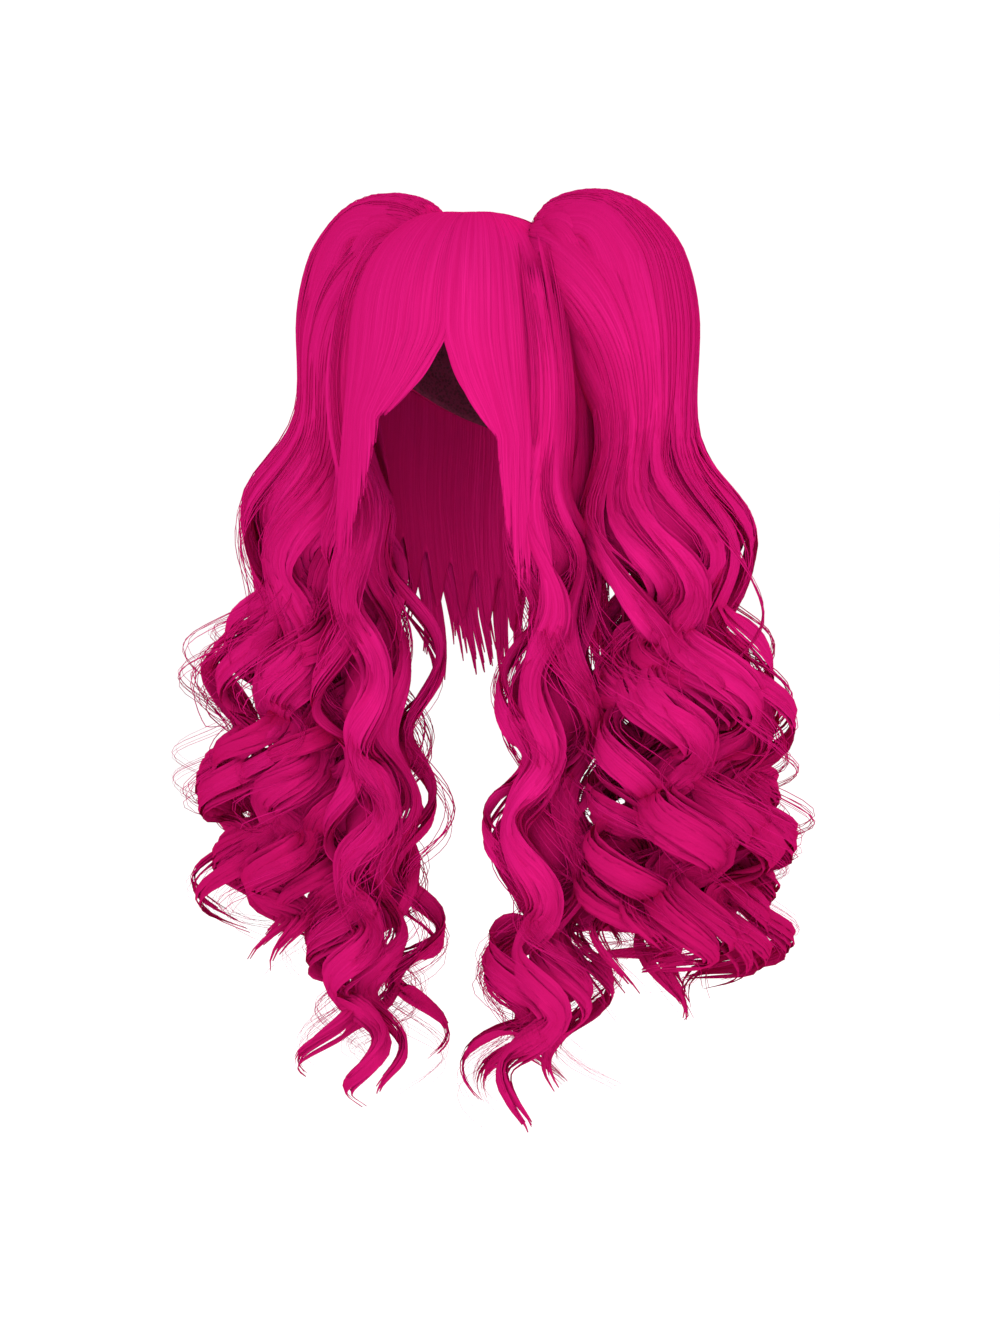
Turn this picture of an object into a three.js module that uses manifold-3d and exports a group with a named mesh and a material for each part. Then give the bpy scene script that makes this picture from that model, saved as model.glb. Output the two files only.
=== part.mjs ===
// A long curly wig with a fringe and two high pigtails, as it hangs when it is worn.
// Millimetres. +Z is up, the wearer looks along -Y, and +X is the wearer's left.
// The origin is the highest point inside the cap, where the crown of the head meets it. In the tables and functions
// below, side is +1 for the wearer's left and -1 for the right.
import * as THREE from 'three';
import { mergeVertices } from 'three/addons/utils/BufferGeometryUtils.js';
import Module from 'manifold-3d';

const wasm = await Module();
wasm.setup();

// The head that the cap fits
const HEAD_HALF_WIDTH = 76;
const HEAD_HALF_DEPTH = 95;
const DOME_HEIGHT = 105;
const NAPE_HEIGHT = 150;
const DOME_SQUARENESS = 2.4;

// The cap, and where its rim runs below the crown of the head
const CAP_WALL = 2;
const FOREHEAD_RIM = 66;
const NAPE_RIM = 162;

// Layers of hair over the cap
const CROWN_HAIR = 6;
const FRINGE_HAIR = 7;
const BACK_HAIR = 7;
const CLEARANCE = 0.3;
const LAYER_GAP = 0.9;
const HEAD_GAP = 0.7;
const CLIP_GAP = 0.5;
const ROUGH_CLEARANCE = 1.1;
const CROWN_GROOVE = 0.3;
const CROWN_INSIDE = CAP_WALL + CLEARANCE;
const CROWN_OUTSIDE = CROWN_INSIDE + CROWN_HAIR;
const LAYER_INSIDE = CROWN_OUTSIDE + LAYER_GAP;

// A combed panel: the share of its length that lies on the head, and how it thins towards its grooves, sides, root
// and tips
const LYING_SHARE = 0.5;
const PANEL_GROOVE = 0.28;
const PANEL_SIDE = 0.04;
const PANEL_EDGE = 0.35;
const PANEL_TIP = 0.4;
const PANEL_THINNING = 3;
const PANEL_ROOT = 0.35;
const PANEL_SWELL = 0.3;
const ROOM_BELOW = 3;

// The fringe: the parting's bearing is measured from straight ahead towards the wearer's left, in degrees
const PARTING_BEARING = 19;
const PARTING_GAP = 0.6;
const FRINGE_BEARING = 66;
const FRINGE_DROP = 200;
const FRINGE_FLARE = 0.09;
const FRINGE_TIP = 5;
const FRINGE_START = 7;
const FRINGE_LEAVE = 84;

// The lower edge of the fringe from the parting outwards, as shares of FRINGE_DROP.
const FRINGE_EDGE = [0.38, 0.57, 0.72, 0.78, 0.84, 0.92, 1.0];

// The curtain round the back, from ear to ear
const BACK_BEARING = 69;
const BACK_DROP = 385;
const BACK_START = 62;
const BACK_LEAVE = 100;
const BACK_TIP = 20;
const BACK_LIFT = 0.6;
const BACK_WAVE = 5;
const BACK_WAVES = 2;
const BACK_SIDE_RISE = 0.25;

// The clips under the pigtails, each at its bearing and slope behind and above the ear
const CLIP_LENGTH = 38;
const CLIP_WIDTH = 22;
const CLIP_HEIGHT = 8;
const CLIP_BEARING = 107;
const CLIP_SLOPE = 50;
const CLIP_ROUNDING = 0.35;
const CLIP_SQUARENESS = 3;

// The pigtails: how far out, back and down their middle hangs, and how wide the sheaf of locks and its curls are
const PIGTAIL_OUT = 170;
const PIGTAIL_BACK = 24;
const PIGTAIL_RISE = 22;
const PIGTAIL_DROP = 610;
const SHEAF_HALF_WIDTH = 56;
const CURL_RADIUS = 29;
const LOCK_HALF_WIDTH = 23;
const LOCK_HALF_THICKNESS = 11;

// The long locks beside the face
const SIDE_OUT = 76;
const SIDE_FRONT = 66;
const SIDE_DROP = 676;
const SIDE_CURL_RADIUS = 22;
const SIDE_LOCK_HALF_WIDTH = 18;
const SIDE_LOCK_HALF_THICKNESS = 8.5;

// How a sheaf's curls lag round it, how deep its grooves are, and how bluntly it and its free locks end
const SHEAF_LAG = 0.2;
const SHEAF_GROOVE = 0.5;
const SMOOTH_GROOVE = 0.35;
const SHEAF_OPENS = 8;
const SHEAF_CLOSES = 12;
const SHEAF_BLUNTNESS = 0.6;
const PIGTAIL_ENDS = 0.97;
const SIDE_ENDS = 0.985;
const PIGTAIL_LAG_TURN = { right: 0.3, left: 0.1 };
const SIDE_LAG_TURN = { right: 0.1, left: 0.3 };
const LOCK_TWIST = 0.5;
const LOCK_CLOSES = 3;
const LOCK_BLUNTNESS = 0.7;
const SPLINE_TENSION = 0.5;

// Finishes
const HAIR_FINISH = { color: 0xd0186c, roughness: 0.4, metalness: 0 };
const CAP_FINISH = { color: 0x5c0a30, roughness: 0.9, metalness: 0 };
const CLIP_FINISH = { color: 0x2a0616, roughness: 0.5, metalness: 0 };

// How finely the faceted surfaces are cut
const DOME_SEGMENTS = 24;
const DOME_ROWS = 5;
const BLOCK_SEGMENTS = 44;
const BLOCK_ROWS = 26;
const FRINGE_COLUMNS = { right: 12, left: 8 };
const FRINGE_STEPS = 14;
const BACK_COLUMNS = 16;
const BACK_STEPS = 10;
const CLIP_STEPS = 4;
const PIGTAIL_TRESSES = 6;
const SIDE_TRESSES = 4;
const STEPS_PER_ROW = 3;
const LOCK_SIDES = 4;
const LOCK_STEPS = 13;
const MERGE_DISTANCE = 1e-3;

const DEGREES = Math.PI / 180;
const TURN = 2 * Math.PI;
const SIDES = { right: -1, left: 1 };

// The middle line of a pigtail, a row for each half turn of its curls, from the clip to the tips.
// out, back, rise and drop are shares of the sizes above; wide and deep are the sheaf's half sizes across and along
// its bend, as shares of SHEAF_HALF_WIDTH; inner is the share of deep that is left on the inside of a sharp bend; lock
// is a share of a lock's size, curl is a share of CURL_RADIUS, and turn counts the curls' turns.
const PIGTAIL_ROWS = [
  { out: 0.3, back: 0.9, rise: -2.0, drop: 0.0, wide: 0.34, deep: 0.3, inner: 0.6, lock: 0.6, curl: 0.0, turn: 0.0 },
  { out: 0.42, back: 0.9, rise: -0.85, drop: 0.0, wide: 0.54, deep: 0.54, inner: 0.3, lock: 0.8, curl: 0.0, turn: 0.0 },
  { out: 0.56, back: 0.9, rise: -0.5, drop: 0.0, wide: 0.64, deep: 0.42, inner: 0.35, lock: 0.9, curl: 0.02, turn: 0.1 },
  { out: 0.64, back: 1.0, rise: 0.0, drop: 0.055, wide: 0.7, deep: 0.63, inner: 0.75, lock: 0.9, curl: 0.04, turn: 0.2 },
  { out: 0.69, back: 1.0, rise: 0.0, drop: 0.125, wide: 0.74, deep: 0.7, inner: 1.0, lock: 0.9, curl: 0.06, turn: 0.3 },
  { out: 0.755, back: 1.0, rise: 0.0, drop: 0.23, wide: 0.72, deep: 0.56, inner: 1.0, lock: 0.9, curl: 0.16, turn: 0.5 },
  { out: 0.86, back: 0.75, rise: 0.0, drop: 0.37, wide: 0.78, deep: 0.7, inner: 1.0, lock: 1.0, curl: 0.62, turn: 1.0 },
  { out: 0.93, back: 0.65, rise: 0.0, drop: 0.48, wide: 0.84, deep: 0.82, inner: 1.0, lock: 1.0, curl: 0.7, turn: 1.5 },
  { out: 0.98, back: 0.5, rise: 0.0, drop: 0.57, wide: 0.9, deep: 0.92, inner: 1.0, lock: 1.0, curl: 0.75, turn: 2.0 },
  { out: 1.0, back: 0.35, rise: 0.0, drop: 0.65, wide: 0.92, deep: 0.96, inner: 1.0, lock: 1.0, curl: 0.8, turn: 2.5 },
  { out: 1.0, back: 0.25, rise: 0.0, drop: 0.72, wide: 0.94, deep: 1.0, inner: 1.0, lock: 1.0, curl: 0.8, turn: 3.0 },
  { out: 0.98, back: 0.15, rise: 0.0, drop: 0.79, wide: 0.94, deep: 1.0, inner: 1.0, lock: 1.0, curl: 0.8, turn: 3.5 },
  { out: 0.94, back: 0.0, rise: 0.0, drop: 0.86, wide: 0.9, deep: 0.96, inner: 1.0, lock: 1.0, curl: 0.8, turn: 4.0 },
  { out: 0.86, back: -0.3, rise: 0.0, drop: 0.93, wide: 0.82, deep: 0.84, inner: 1.0, lock: 1.0, curl: 0.75, turn: 4.5 },
  { out: 0.74, back: -0.7, rise: 0.0, drop: 1.0, wide: 0.66, deep: 0.64, inner: 1.0, lock: 0.9, curl: 0.7, turn: 5.0 },
];

// The middle line of the locks beside the face, laid out the same way. front is a share of SIDE_FRONT.
const SIDE_ROWS = [
  { out: 0.75, front: 0.34, drop: 0.005, wide: 0.24, deep: 0.04, inner: 1.0, lock: 0.6, curl: 0.0, turn: 0.0 },
  { out: 0.98, front: 0.6, drop: 0.07, wide: 0.26, deep: 0.05, inner: 1.0, lock: 0.8, curl: 0.0, turn: 0.0 },
  { out: 1.1, front: 0.66, drop: 0.15, wide: 0.28, deep: 0.06, inner: 1.0, lock: 0.8, curl: 0.04, turn: 0.2 },
  { out: 1.08, front: 0.6, drop: 0.25, wide: 0.34, deep: 0.14, inner: 1.0, lock: 0.9, curl: 0.2, turn: 0.5 },
  { out: 1.03, front: 0.5, drop: 0.35, wide: 0.42, deep: 0.3, inner: 1.0, lock: 1.0, curl: 0.5, turn: 1.0 },
  { out: 1.01, front: 0.4, drop: 0.44, wide: 0.5, deep: 0.42, inner: 1.0, lock: 1.0, curl: 0.6, turn: 1.5 },
  { out: 1.0, front: 0.36, drop: 0.53, wide: 0.55, deep: 0.48, inner: 1.0, lock: 1.0, curl: 0.7, turn: 2.0 },
  { out: 1.0, front: 0.36, drop: 0.61, wide: 0.58, deep: 0.52, inner: 1.0, lock: 1.0, curl: 0.8, turn: 2.5 },
  { out: 1.0, front: 0.4, drop: 0.69, wide: 0.6, deep: 0.56, inner: 1.0, lock: 1.0, curl: 0.8, turn: 3.0 },
  { out: 0.99, front: 0.5, drop: 0.77, wide: 0.6, deep: 0.56, inner: 1.0, lock: 1.0, curl: 0.85, turn: 3.5 },
  { out: 0.98, front: 0.6, drop: 0.85, wide: 0.56, deep: 0.52, inner: 1.0, lock: 1.0, curl: 0.85, turn: 4.0 },
  { out: 0.95, front: 0.7, drop: 0.93, wide: 0.5, deep: 0.5, inner: 1.0, lock: 1.0, curl: 0.85, turn: 4.5 },
  { out: 0.92, front: 0.7, drop: 1.0, wide: 0.4, deep: 0.4, inner: 1.0, lock: 0.9, curl: 0.7, turn: 5.0 },
];

// The free locks of a pigtail: place is in turns round the sheaf from its outer side towards the back, from and to
// are shares of the middle line, and lag and spread are as for a point of the sheaf.
const PIGTAIL_FREE = [
  { place: 0.02, from: 0.46, to: 0.87, lag: 0.28, spread: 1.1 },
  { place: 0.2, from: 0.54, to: 0.95, lag: 0.2, spread: 1.05 },
  { place: 0.74, from: 0.58, to: 1.0, lag: 0.24, spread: 1.0 },
  { place: 0.88, from: 0.5, to: 0.92, lag: 0.2, spread: 1.08 },
];
const SIDE_FREE = [
  { place: 0.45, from: 0.52, to: 0.99, lag: 0.22, spread: 1.0 },
  { place: 0.75, from: 0.56, to: 1.0, lag: 0.28, spread: 1.05 },
];

// A closed surface over two parameters: u runs once round it, and v runs from one pole to the other. The seam and
// the poles are given one value of u each, so that the points there are the same to the last digit.
function closedSurface(around, along, place) {
  const geometry = new THREE.SphereGeometry(1, around, along);
  const share = geometry.getAttribute('uv');
  return shaped(geometry, (i) => {
    const v = 1 - share.getY(i);
    const pole = v === 0 || v === 1;
    return place(pole ? 0 : share.getX(i) % 1, v);
  });
}

// A closed slab over three shares from 0 to 1: across, along and through its thickness.
function slab(across, along, place) {
  const geometry = new THREE.BoxGeometry(1, 1, 1, across, along, 1);
  const corner = new THREE.Vector3();
  const position = geometry.getAttribute('position').clone();
  return shaped(geometry, (i) => {
    corner.fromBufferAttribute(position, i).addScalar(0.5);
    return place(corner.x, corner.y, corner.z);
  });
}

// Moves each vertex of a three.js shape to its place, and gives back a solid whose faces point out.
function shaped(geometry, placeOf) {
  const position = geometry.getAttribute('position');
  for (let i = 0; i < position.count; i += 1) {
    const p = placeOf(i);
    position.setXYZ(i, p.x, p.y, p.z);
  }
  geometry.deleteAttribute('normal');
  geometry.deleteAttribute('uv');
  const solid = weldedSolid(geometry);
  return solid.volume() > 0 ? solid : weldedSolid(geometry, [0, 2, 1]);
}

// A solid from a three.js shape, whose close vertices are made one. order turns its faces round where it isn't 0, 1, 2.
function weldedSolid(geometry, order = [0, 1, 2]) {
  const merged = mergeVertices(geometry, MERGE_DISTANCE);
  const vertProperties = Float32Array.from(merged.getAttribute('position').array);
  const triVerts = Uint32Array.from(merged.index.array, (_, i) => merged.index.array[i - (i % 3) + order[i % 3]]);
  return new wasm.Manifold(new wasm.Mesh({ numProp: 3, vertProperties, triVerts }));
}

function geometryOf(solid) {
  const { vertProperties, triVerts } = solid.getMesh();
  const geometry = new THREE.BufferGeometry();
  geometry.setAttribute('position', new THREE.BufferAttribute(vertProperties, 3));
  geometry.setIndex(new THREE.BufferAttribute(triVerts, 1));
  return geometry;
}

// The largest body of a solid: crumbs that a cut leaves, and pockets between fused locks, are dropped.
function largestBody(solid) {
  return solid.decompose().reduce((best, body) => (body.volume() > best.volume() ? body : best));
}

function fused(solids) {
  return solids.reduce((sum, solid) => sum.add(solid));
}

function cutBy(solid, tools) {
  return largestBody(tools.reduce((rest, tool) => rest.subtract(tool), solid));
}

// The head's surface grown by a layer. bearing is 0 straight ahead and 90 degrees over the wearer's left ear;
// slope is 0 at the crown and 90 degrees at the head's widest level, and goes on past it down the neck.
function headPoint(bearing, slope, grow) {
  const flat = Math.abs(Math.sin(slope));
  const upright = Math.cos(slope);
  const rounding = (flat ** DOME_SQUARENESS + Math.abs(upright) ** DOME_SQUARENESS) ** (-1 / DOME_SQUARENESS);
  const dome = upright > 0;
  const reach = dome ? flat * rounding : flat;
  const level = dome ? (DOME_HEIGHT + grow) * upright * rounding : NAPE_HEIGHT * upright;
  return new THREE.Vector3(
    (HEAD_HALF_WIDTH + grow) * reach * Math.sin(bearing),
    -(HEAD_HALF_DEPTH + grow) * reach * Math.cos(bearing),
    level - DOME_HEIGHT,
  );
}

// The slope at which the head's surface passes a level, so that rims and ends are set by their drop in millimetres.
function slopeAt(drop) {
  const below = drop - DOME_HEIGHT;
  if (below > 0) return Math.acos(-Math.min(1, below / NAPE_HEIGHT));
  const up = (-below / DOME_HEIGHT) ** DOME_SQUARENESS;
  return Math.atan2((1 - up) ** (1 / DOME_SQUARENESS), up ** (1 / DOME_SQUARENESS));
}

// The cap's rim falls smoothly from the forehead to the nape.
function rimSlope(bearing) {
  const share = (1 - Math.cos(bearing)) / 2;
  return THREE.MathUtils.lerp(slopeAt(FOREHEAD_RIM), slopeAt(NAPE_RIM), share);
}

// A dome-shaped wall that runs down one of its faces from the crown to the rim, and back up the other. Where two
// walls lie on each other, the faces that meet both run down, so that their facets match and never cross.
function domeShell(downFace, upFace) {
  return closedSurface(DOME_SEGMENTS, 2 * DOME_ROWS + 1, (u, v) => {
    const bearing = u * TURN;
    const row = v * (2 * DOME_ROWS + 1);
    const down = row < DOME_ROWS + 0.5;
    const share = (down ? row : 2 * DOME_ROWS + 1 - row) / DOME_ROWS;
    return headPoint(bearing, share * rimSlope(bearing), down ? downFace : upFace(u, share));
  });
}

// The whole head and neck as one block, grown by a layer, which other pieces are cut to.
function headBlock(grow) {
  return closedSurface(BLOCK_SEGMENTS, BLOCK_ROWS, (u, v) => headPoint(u * TURN, v * Math.PI, grow));
}

function cap() {
  return domeShell(CAP_WALL, () => 0);
}

// Every second meridian is a shallow groove between two tresses, which fades out at the whorl.
function crownHair() {
  return domeShell(CROWN_INSIDE, (u, share) => {
    const groove = Math.round(u * DOME_SEGMENTS) % 2;
    return CROWN_OUTSIDE - CROWN_HAIR * CROWN_GROOVE * groove * Math.min(1, share);
  });
}

// A strand that lies on the head from startSlope for the first part of its length, and then hangs from leaveSlope
// down to drop. along is a share of its length, and flare is how far it swings out for each millimetre that it hangs.
function fallingPoint({ bearing, startSlope, leaveSlope, drop, flare, grow, along }) {
  if (along < LYING_SHARE) {
    return headPoint(bearing, THREE.MathUtils.lerp(startSlope, leaveSlope, along / LYING_SHARE), grow);
  }
  const leave = headPoint(bearing, leaveSlope, grow);
  const hung = (Math.max(0, drop + leave.z) * (along - LYING_SHARE)) / (1 - LYING_SHARE);
  const away = new THREE.Vector3(leave.x, leave.y, 0).normalize();
  return leave.addScaledVector(away, flare * hung).add(new THREE.Vector3(0, 0, -hung));
}

// A combed panel of hair over the head, from one bearing to another. Every second column is a groove between two
// tresses, which ends higher than they do by tip. ripple lifts the panel off the head.
function combedPanel({ from, to, across, along, startSlope, leaveSlope, drop, flare, thickness, tip, grow, ripple }) {
  return slab(across, along, (a, b, c) => {
    const margin = (Math.sign(to - from) * grow) / HEAD_HALF_WIDTH;
    const bearing = THREE.MathUtils.lerp(from - margin, to + margin, a);
    const groove = Math.round(a * across) % 2;
    const edge = Math.sin(Math.PI * THREE.MathUtils.clamp(a, PANEL_SIDE, 1 - PANEL_SIDE)) ** PANEL_EDGE;
    const thinning = THREE.MathUtils.lerp(1, PANEL_TIP, b ** PANEL_THINNING);
    const root = THREE.MathUtils.lerp(PANEL_ROOT, 1, Math.min(1, b / PANEL_SWELL));
    const tress = edge * thinning * root * (1 - PANEL_GROOVE * groove);
    const layer = grow > 0 ? thickness + 2 * grow : thickness * tress;
    const ending = grow > 0 ? ROOM_BELOW * grow : -tip * groove;
    const base = LAYER_INSIDE + ripple(a, b) - grow;
    return fallingPoint({
      bearing,
      startSlope: startSlope - grow / DOME_HEIGHT,
      leaveSlope,
      drop: drop(THREE.MathUtils.clamp((bearing - from) / (to - from), 0, 1)) + ending,
      flare,
      grow: base + layer * c,
      along: b,
    });
  });
}

function fromTable(table, share) {
  const place = THREE.MathUtils.clamp(share, 0, 1) * (table.length - 1);
  const row = Math.min(Math.floor(place), table.length - 2);
  return THREE.MathUtils.lerp(table[row], table[row + 1], place - row);
}

// One half of the fringe.
function fringe(name, grow = 0) {
  const side = SIDES[name];
  const parting = (PARTING_BEARING + (side * PARTING_GAP) / 2) * DEGREES;
  const outer = side * FRINGE_BEARING * DEGREES;
  return combedPanel({
    from: parting,
    to: outer,
    across: FRINGE_COLUMNS[name],
    along: FRINGE_STEPS,
    startSlope: FRINGE_START * DEGREES,
    leaveSlope: FRINGE_LEAVE * DEGREES,
    drop: (share) => FRINGE_DROP * fromTable(FRINGE_EDGE, share),
    flare: FRINGE_FLARE,
    thickness: FRINGE_HAIR,
    tip: FRINGE_TIP,
    grow,
    ripple: () => 0,
  });
}

// The curtain round the back starts under the head's widest level, and ends in shallow waves.
function backHair(grow = 0) {
  const wave = (a, b) => BACK_LIFT + BACK_WAVE * b * b * (1 + Math.sin(b * BACK_WAVES * TURN + a * TURN));
  return combedPanel({
    from: BACK_BEARING * DEGREES,
    to: (360 - BACK_BEARING) * DEGREES,
    across: BACK_COLUMNS,
    along: BACK_STEPS,
    startSlope: BACK_START * DEGREES,
    leaveSlope: BACK_LEAVE * DEGREES,
    drop: (share) => BACK_DROP * (1 - BACK_SIDE_RISE * Math.abs(2 * share - 1) ** 2),
    flare: 0,
    thickness: BACK_HAIR,
    tip: BACK_TIP,
    grow,
    ripple: wave,
  });
}

// A plain pad with rounded edges that lies on the crown hair under the gather of a pigtail. When it is grown to cut
// the pigtail it also reaches down into the head's own room, so that no film of hair is left between the two.
function clip(name, grow = 0) {
  const side = SIDES[name];
  const middle = headPoint(side * CLIP_BEARING * DEGREES, CLIP_SLOPE * DEGREES, CROWN_OUTSIDE);
  const reach = Math.hypot(middle.x, middle.y);
  const halfSlope = (CLIP_WIDTH / 2 + grow) / DOME_HEIGHT;
  const halfBearing = (CLIP_LENGTH / 2 + grow) / reach;
  return slab(CLIP_STEPS, CLIP_STEPS, (a, b, c) => {
    const aside = Math.max(Math.abs(2 * a - 1), Math.abs(2 * b - 1)) ** CLIP_SQUARENESS;
    const crowned = 1 - CLIP_ROUNDING * aside;
    const bearing = side * CLIP_BEARING * DEGREES + (2 * a - 1) * halfBearing;
    const slope = CLIP_SLOPE * DEGREES + (2 * b - 1) * halfSlope;
    const base = grow > 0 ? CROWN_INSIDE : CROWN_OUTSIDE + CLIP_GAP;
    const top = CROWN_OUTSIDE + CLIP_GAP + CLIP_HEIGHT * crowned + grow;
    return headPoint(bearing, slope, THREE.MathUtils.lerp(base, top, c));
  });
}

// A smooth line through the rows of a table, as a point and as the columns for the sheaf and its curls.
function middleLine(side, rows, pointOf) {
  const path = new THREE.CatmullRomCurve3(rows.map(pointOf), false, 'catmullrom', SPLINE_TENSION);
  const girth = new THREE.CatmullRomCurve3(
    rows.map((row) => new THREE.Vector3(row.wide, row.deep, row.curl)),
    false,
    'catmullrom',
    SPLINE_TENSION,
  );
  const column = (name) => rows.map((row) => row[name]);
  const turns = column('turn');
  const locks = column('lock');
  const inners = column('inner');
  return (t) => {
    const along = path.getTangent(t);
    const across = new THREE.Vector3(0, 1, 0).addScaledVector(along, -along.y).normalize();
    const bend = along.clone().cross(across).multiplyScalar(side);
    const { x: wide, y: deep, z: curl } = girth.getPoint(t);
    const [turn, lockShare, inner] = [turns, locks, inners].map((table) => fromTable(table, t));
    return { point: path.getPoint(t), across, bend, wide, deep, curl, turn, lock: lockShare, inner };
  };
}

function pigtailLine(side) {
  return middleLine(
    side,
    PIGTAIL_ROWS,
    (row) =>
      new THREE.Vector3(
        side * PIGTAIL_OUT * row.out,
        PIGTAIL_BACK * row.back,
        PIGTAIL_RISE * row.rise - PIGTAIL_DROP * row.drop,
      ),
  );
}

function sideLine(side) {
  return middleLine(
    side,
    SIDE_ROWS,
    (row) => new THREE.Vector3(side * SIDE_OUT * row.out, -SIDE_FRONT * row.front, -SIDE_DROP * row.drop),
  );
}

// A point of a sheaf of hair. angle is its place round the sheaf, lag delays the curls there by a share of a turn,
// spread is its distance from the middle line as a share of the sheaf, and skin is hair laid on top in millimetres.
function sheafPoint({ at, angle, lag, spread, skin, curlRadius, size }) {
  const turn = TURN * (at.turn + lag);
  const reach = spread * SHEAF_HALF_WIDTH;
  const deep = (at.deep * reach + skin) * (Math.cos(angle) < 0 ? at.inner : 1);
  const wide = at.wide * reach + skin;
  return at.point
    .clone()
    .addScaledVector(at.bend, size * (Math.cos(angle) * deep + Math.cos(turn) * at.curl * curlRadius))
    .addScaledVector(at.across, size * (Math.sin(angle) * wide + Math.sin(turn) * at.curl * curlRadius));
}

// The body of a sheaf: one closed surface whose every second rib is the ridge of a tress and whose others are the
// grooves between tresses. The curls' lag runs smoothly round it, so that its bulges lean round it and don't stack
// in rings.
function sheafBody({ line, tresses, steps, ends, curlRadius, lagTurn, grow }) {
  return closedSurface(2 * tresses, steps, (u, v) => {
    const at = line(v * ends);
    const angle = u * TURN;
    const groove = Math.round(u * 2 * tresses) % 2;
    const depth = SHEAF_GROOVE * groove * (SMOOTH_GROOVE + at.curl);
    return sheafPoint({
      at,
      angle,
      lag: SHEAF_LAG * (Math.sin(angle + lagTurn * TURN) - Math.sin(lagTurn * TURN)),
      spread: 1,
      skin: LOCK_HALF_THICKNESS * at.lock * (1 - depth) + grow,
      curlRadius,
      size: Math.min(1, v * SHEAF_OPENS, (1 - v) * SHEAF_CLOSES) ** SHEAF_BLUNTNESS,
    });
  });
}

// A lock that winds its own way out of the body of a sheaf and hangs free at its tip. Its section is a flat lozenge
// that turns with the curl.
function freeLock({ line, place, from, to, lag, spread, width, thickness, curlRadius, grow }) {
  const angle = place * TURN;
  return closedSurface(LOCK_SIDES, LOCK_STEPS, (u, v) => {
    const at = line(THREE.MathUtils.lerp(from, to, v));
    const point = sheafPoint({ at, angle, lag, spread, skin: 0, curlRadius, size: 1 });
    const facing = angle + TURN * at.turn * LOCK_TWIST;
    const out = at.bend.clone().multiplyScalar(Math.cos(facing)).addScaledVector(at.across, Math.sin(facing));
    const flat = at.bend.clone().multiplyScalar(-Math.sin(facing)).addScaledVector(at.across, Math.cos(facing));
    const taper = at.lock * Math.min(1, v * LOCK_STEPS, (1 - v) * LOCK_CLOSES) ** LOCK_BLUNTNESS;
    const margin = grow * Math.sign(taper);
    return point
      .addScaledVector(flat, Math.cos(u * TURN) * (width * taper + margin))
      .addScaledVector(out, Math.sin(u * TURN) * (thickness * taper + margin));
  });
}

// The number of steps along a sheaf whose middle line has these rows.
function stepsAlong(rows) {
  return STEPS_PER_ROW * (rows.length - 1);
}

// One pigtail. The wearer's right one leans its curls round the other way than the left one.
function pigtail(name, grow = 0) {
  const shared = { line: pigtailLine(SIDES[name]), curlRadius: CURL_RADIUS, grow };
  const body = sheafBody({
    ...shared,
    tresses: PIGTAIL_TRESSES,
    steps: stepsAlong(PIGTAIL_ROWS),
    ends: PIGTAIL_ENDS,
    lagTurn: PIGTAIL_LAG_TURN[name],
  });
  const size = { width: LOCK_HALF_WIDTH, thickness: LOCK_HALF_THICKNESS };
  return fused([body, ...PIGTAIL_FREE.map((row) => freeLock({ ...shared, ...size, ...row }))]);
}

// One of the long locks beside the face.
function sideLock(name, grow = 0) {
  const shared = { line: sideLine(SIDES[name]), curlRadius: SIDE_CURL_RADIUS, grow };
  const body = sheafBody({
    ...shared,
    tresses: SIDE_TRESSES,
    steps: stepsAlong(SIDE_ROWS),
    ends: SIDE_ENDS,
    lagTurn: SIDE_LAG_TURN[name],
  });
  const size = { width: SIDE_LOCK_HALF_WIDTH, thickness: SIDE_LOCK_HALF_THICKNESS };
  return fused([body, ...SIDE_FREE.map((row) => freeLock({ ...shared, ...size, ...row }))]);
}

// A solid as a named mesh with its own material.
function mesh(name, solid, finish) {
  const geometry = geometryOf(largestBody(weldedSolid(geometryOf(largestBody(solid)))));
  geometry.computeVertexNormals();
  const made = new THREE.Mesh(geometry, new THREE.MeshStandardMaterial(finish));
  made.name = name;
  return made;
}

// The wig: each softer layer is cut to the room of the pieces that it lies against.
const wig = new THREE.Group();
const headRoom = headBlock(CROWN_OUTSIDE + HEAD_GAP);
const backRoom = backHair(2 * ROUGH_CLEARANCE);
wig.add(mesh('cap', cap(), CAP_FINISH));
wig.add(mesh('crown_hair', crownHair(), HAIR_FINISH));
wig.add(mesh('back_hair', backHair(), HAIR_FINISH));
for (const name of Object.keys(SIDES)) {
  const fringeRoom = fringe(name, ROUGH_CLEARANCE);
  const tail = cutBy(pigtail(name), [headRoom, clip(name, CLEARANCE), fringeRoom, backRoom]);
  const tailRoom = pigtail(name, ROUGH_CLEARANCE);
  const beside = cutBy(sideLock(name), [headRoom, fringeRoom, backRoom, tailRoom]);
  wig.add(mesh(`clip_${name}`, clip(name), CLIP_FINISH));
  wig.add(mesh(`fringe_${name}`, fringe(name), HAIR_FINISH));
  wig.add(mesh(`pigtail_${name}`, tail, HAIR_FINISH));
  wig.add(mesh(`side_lock_${name}`, beside, HAIR_FINISH));
}

export default wig;
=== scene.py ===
import math

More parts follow.
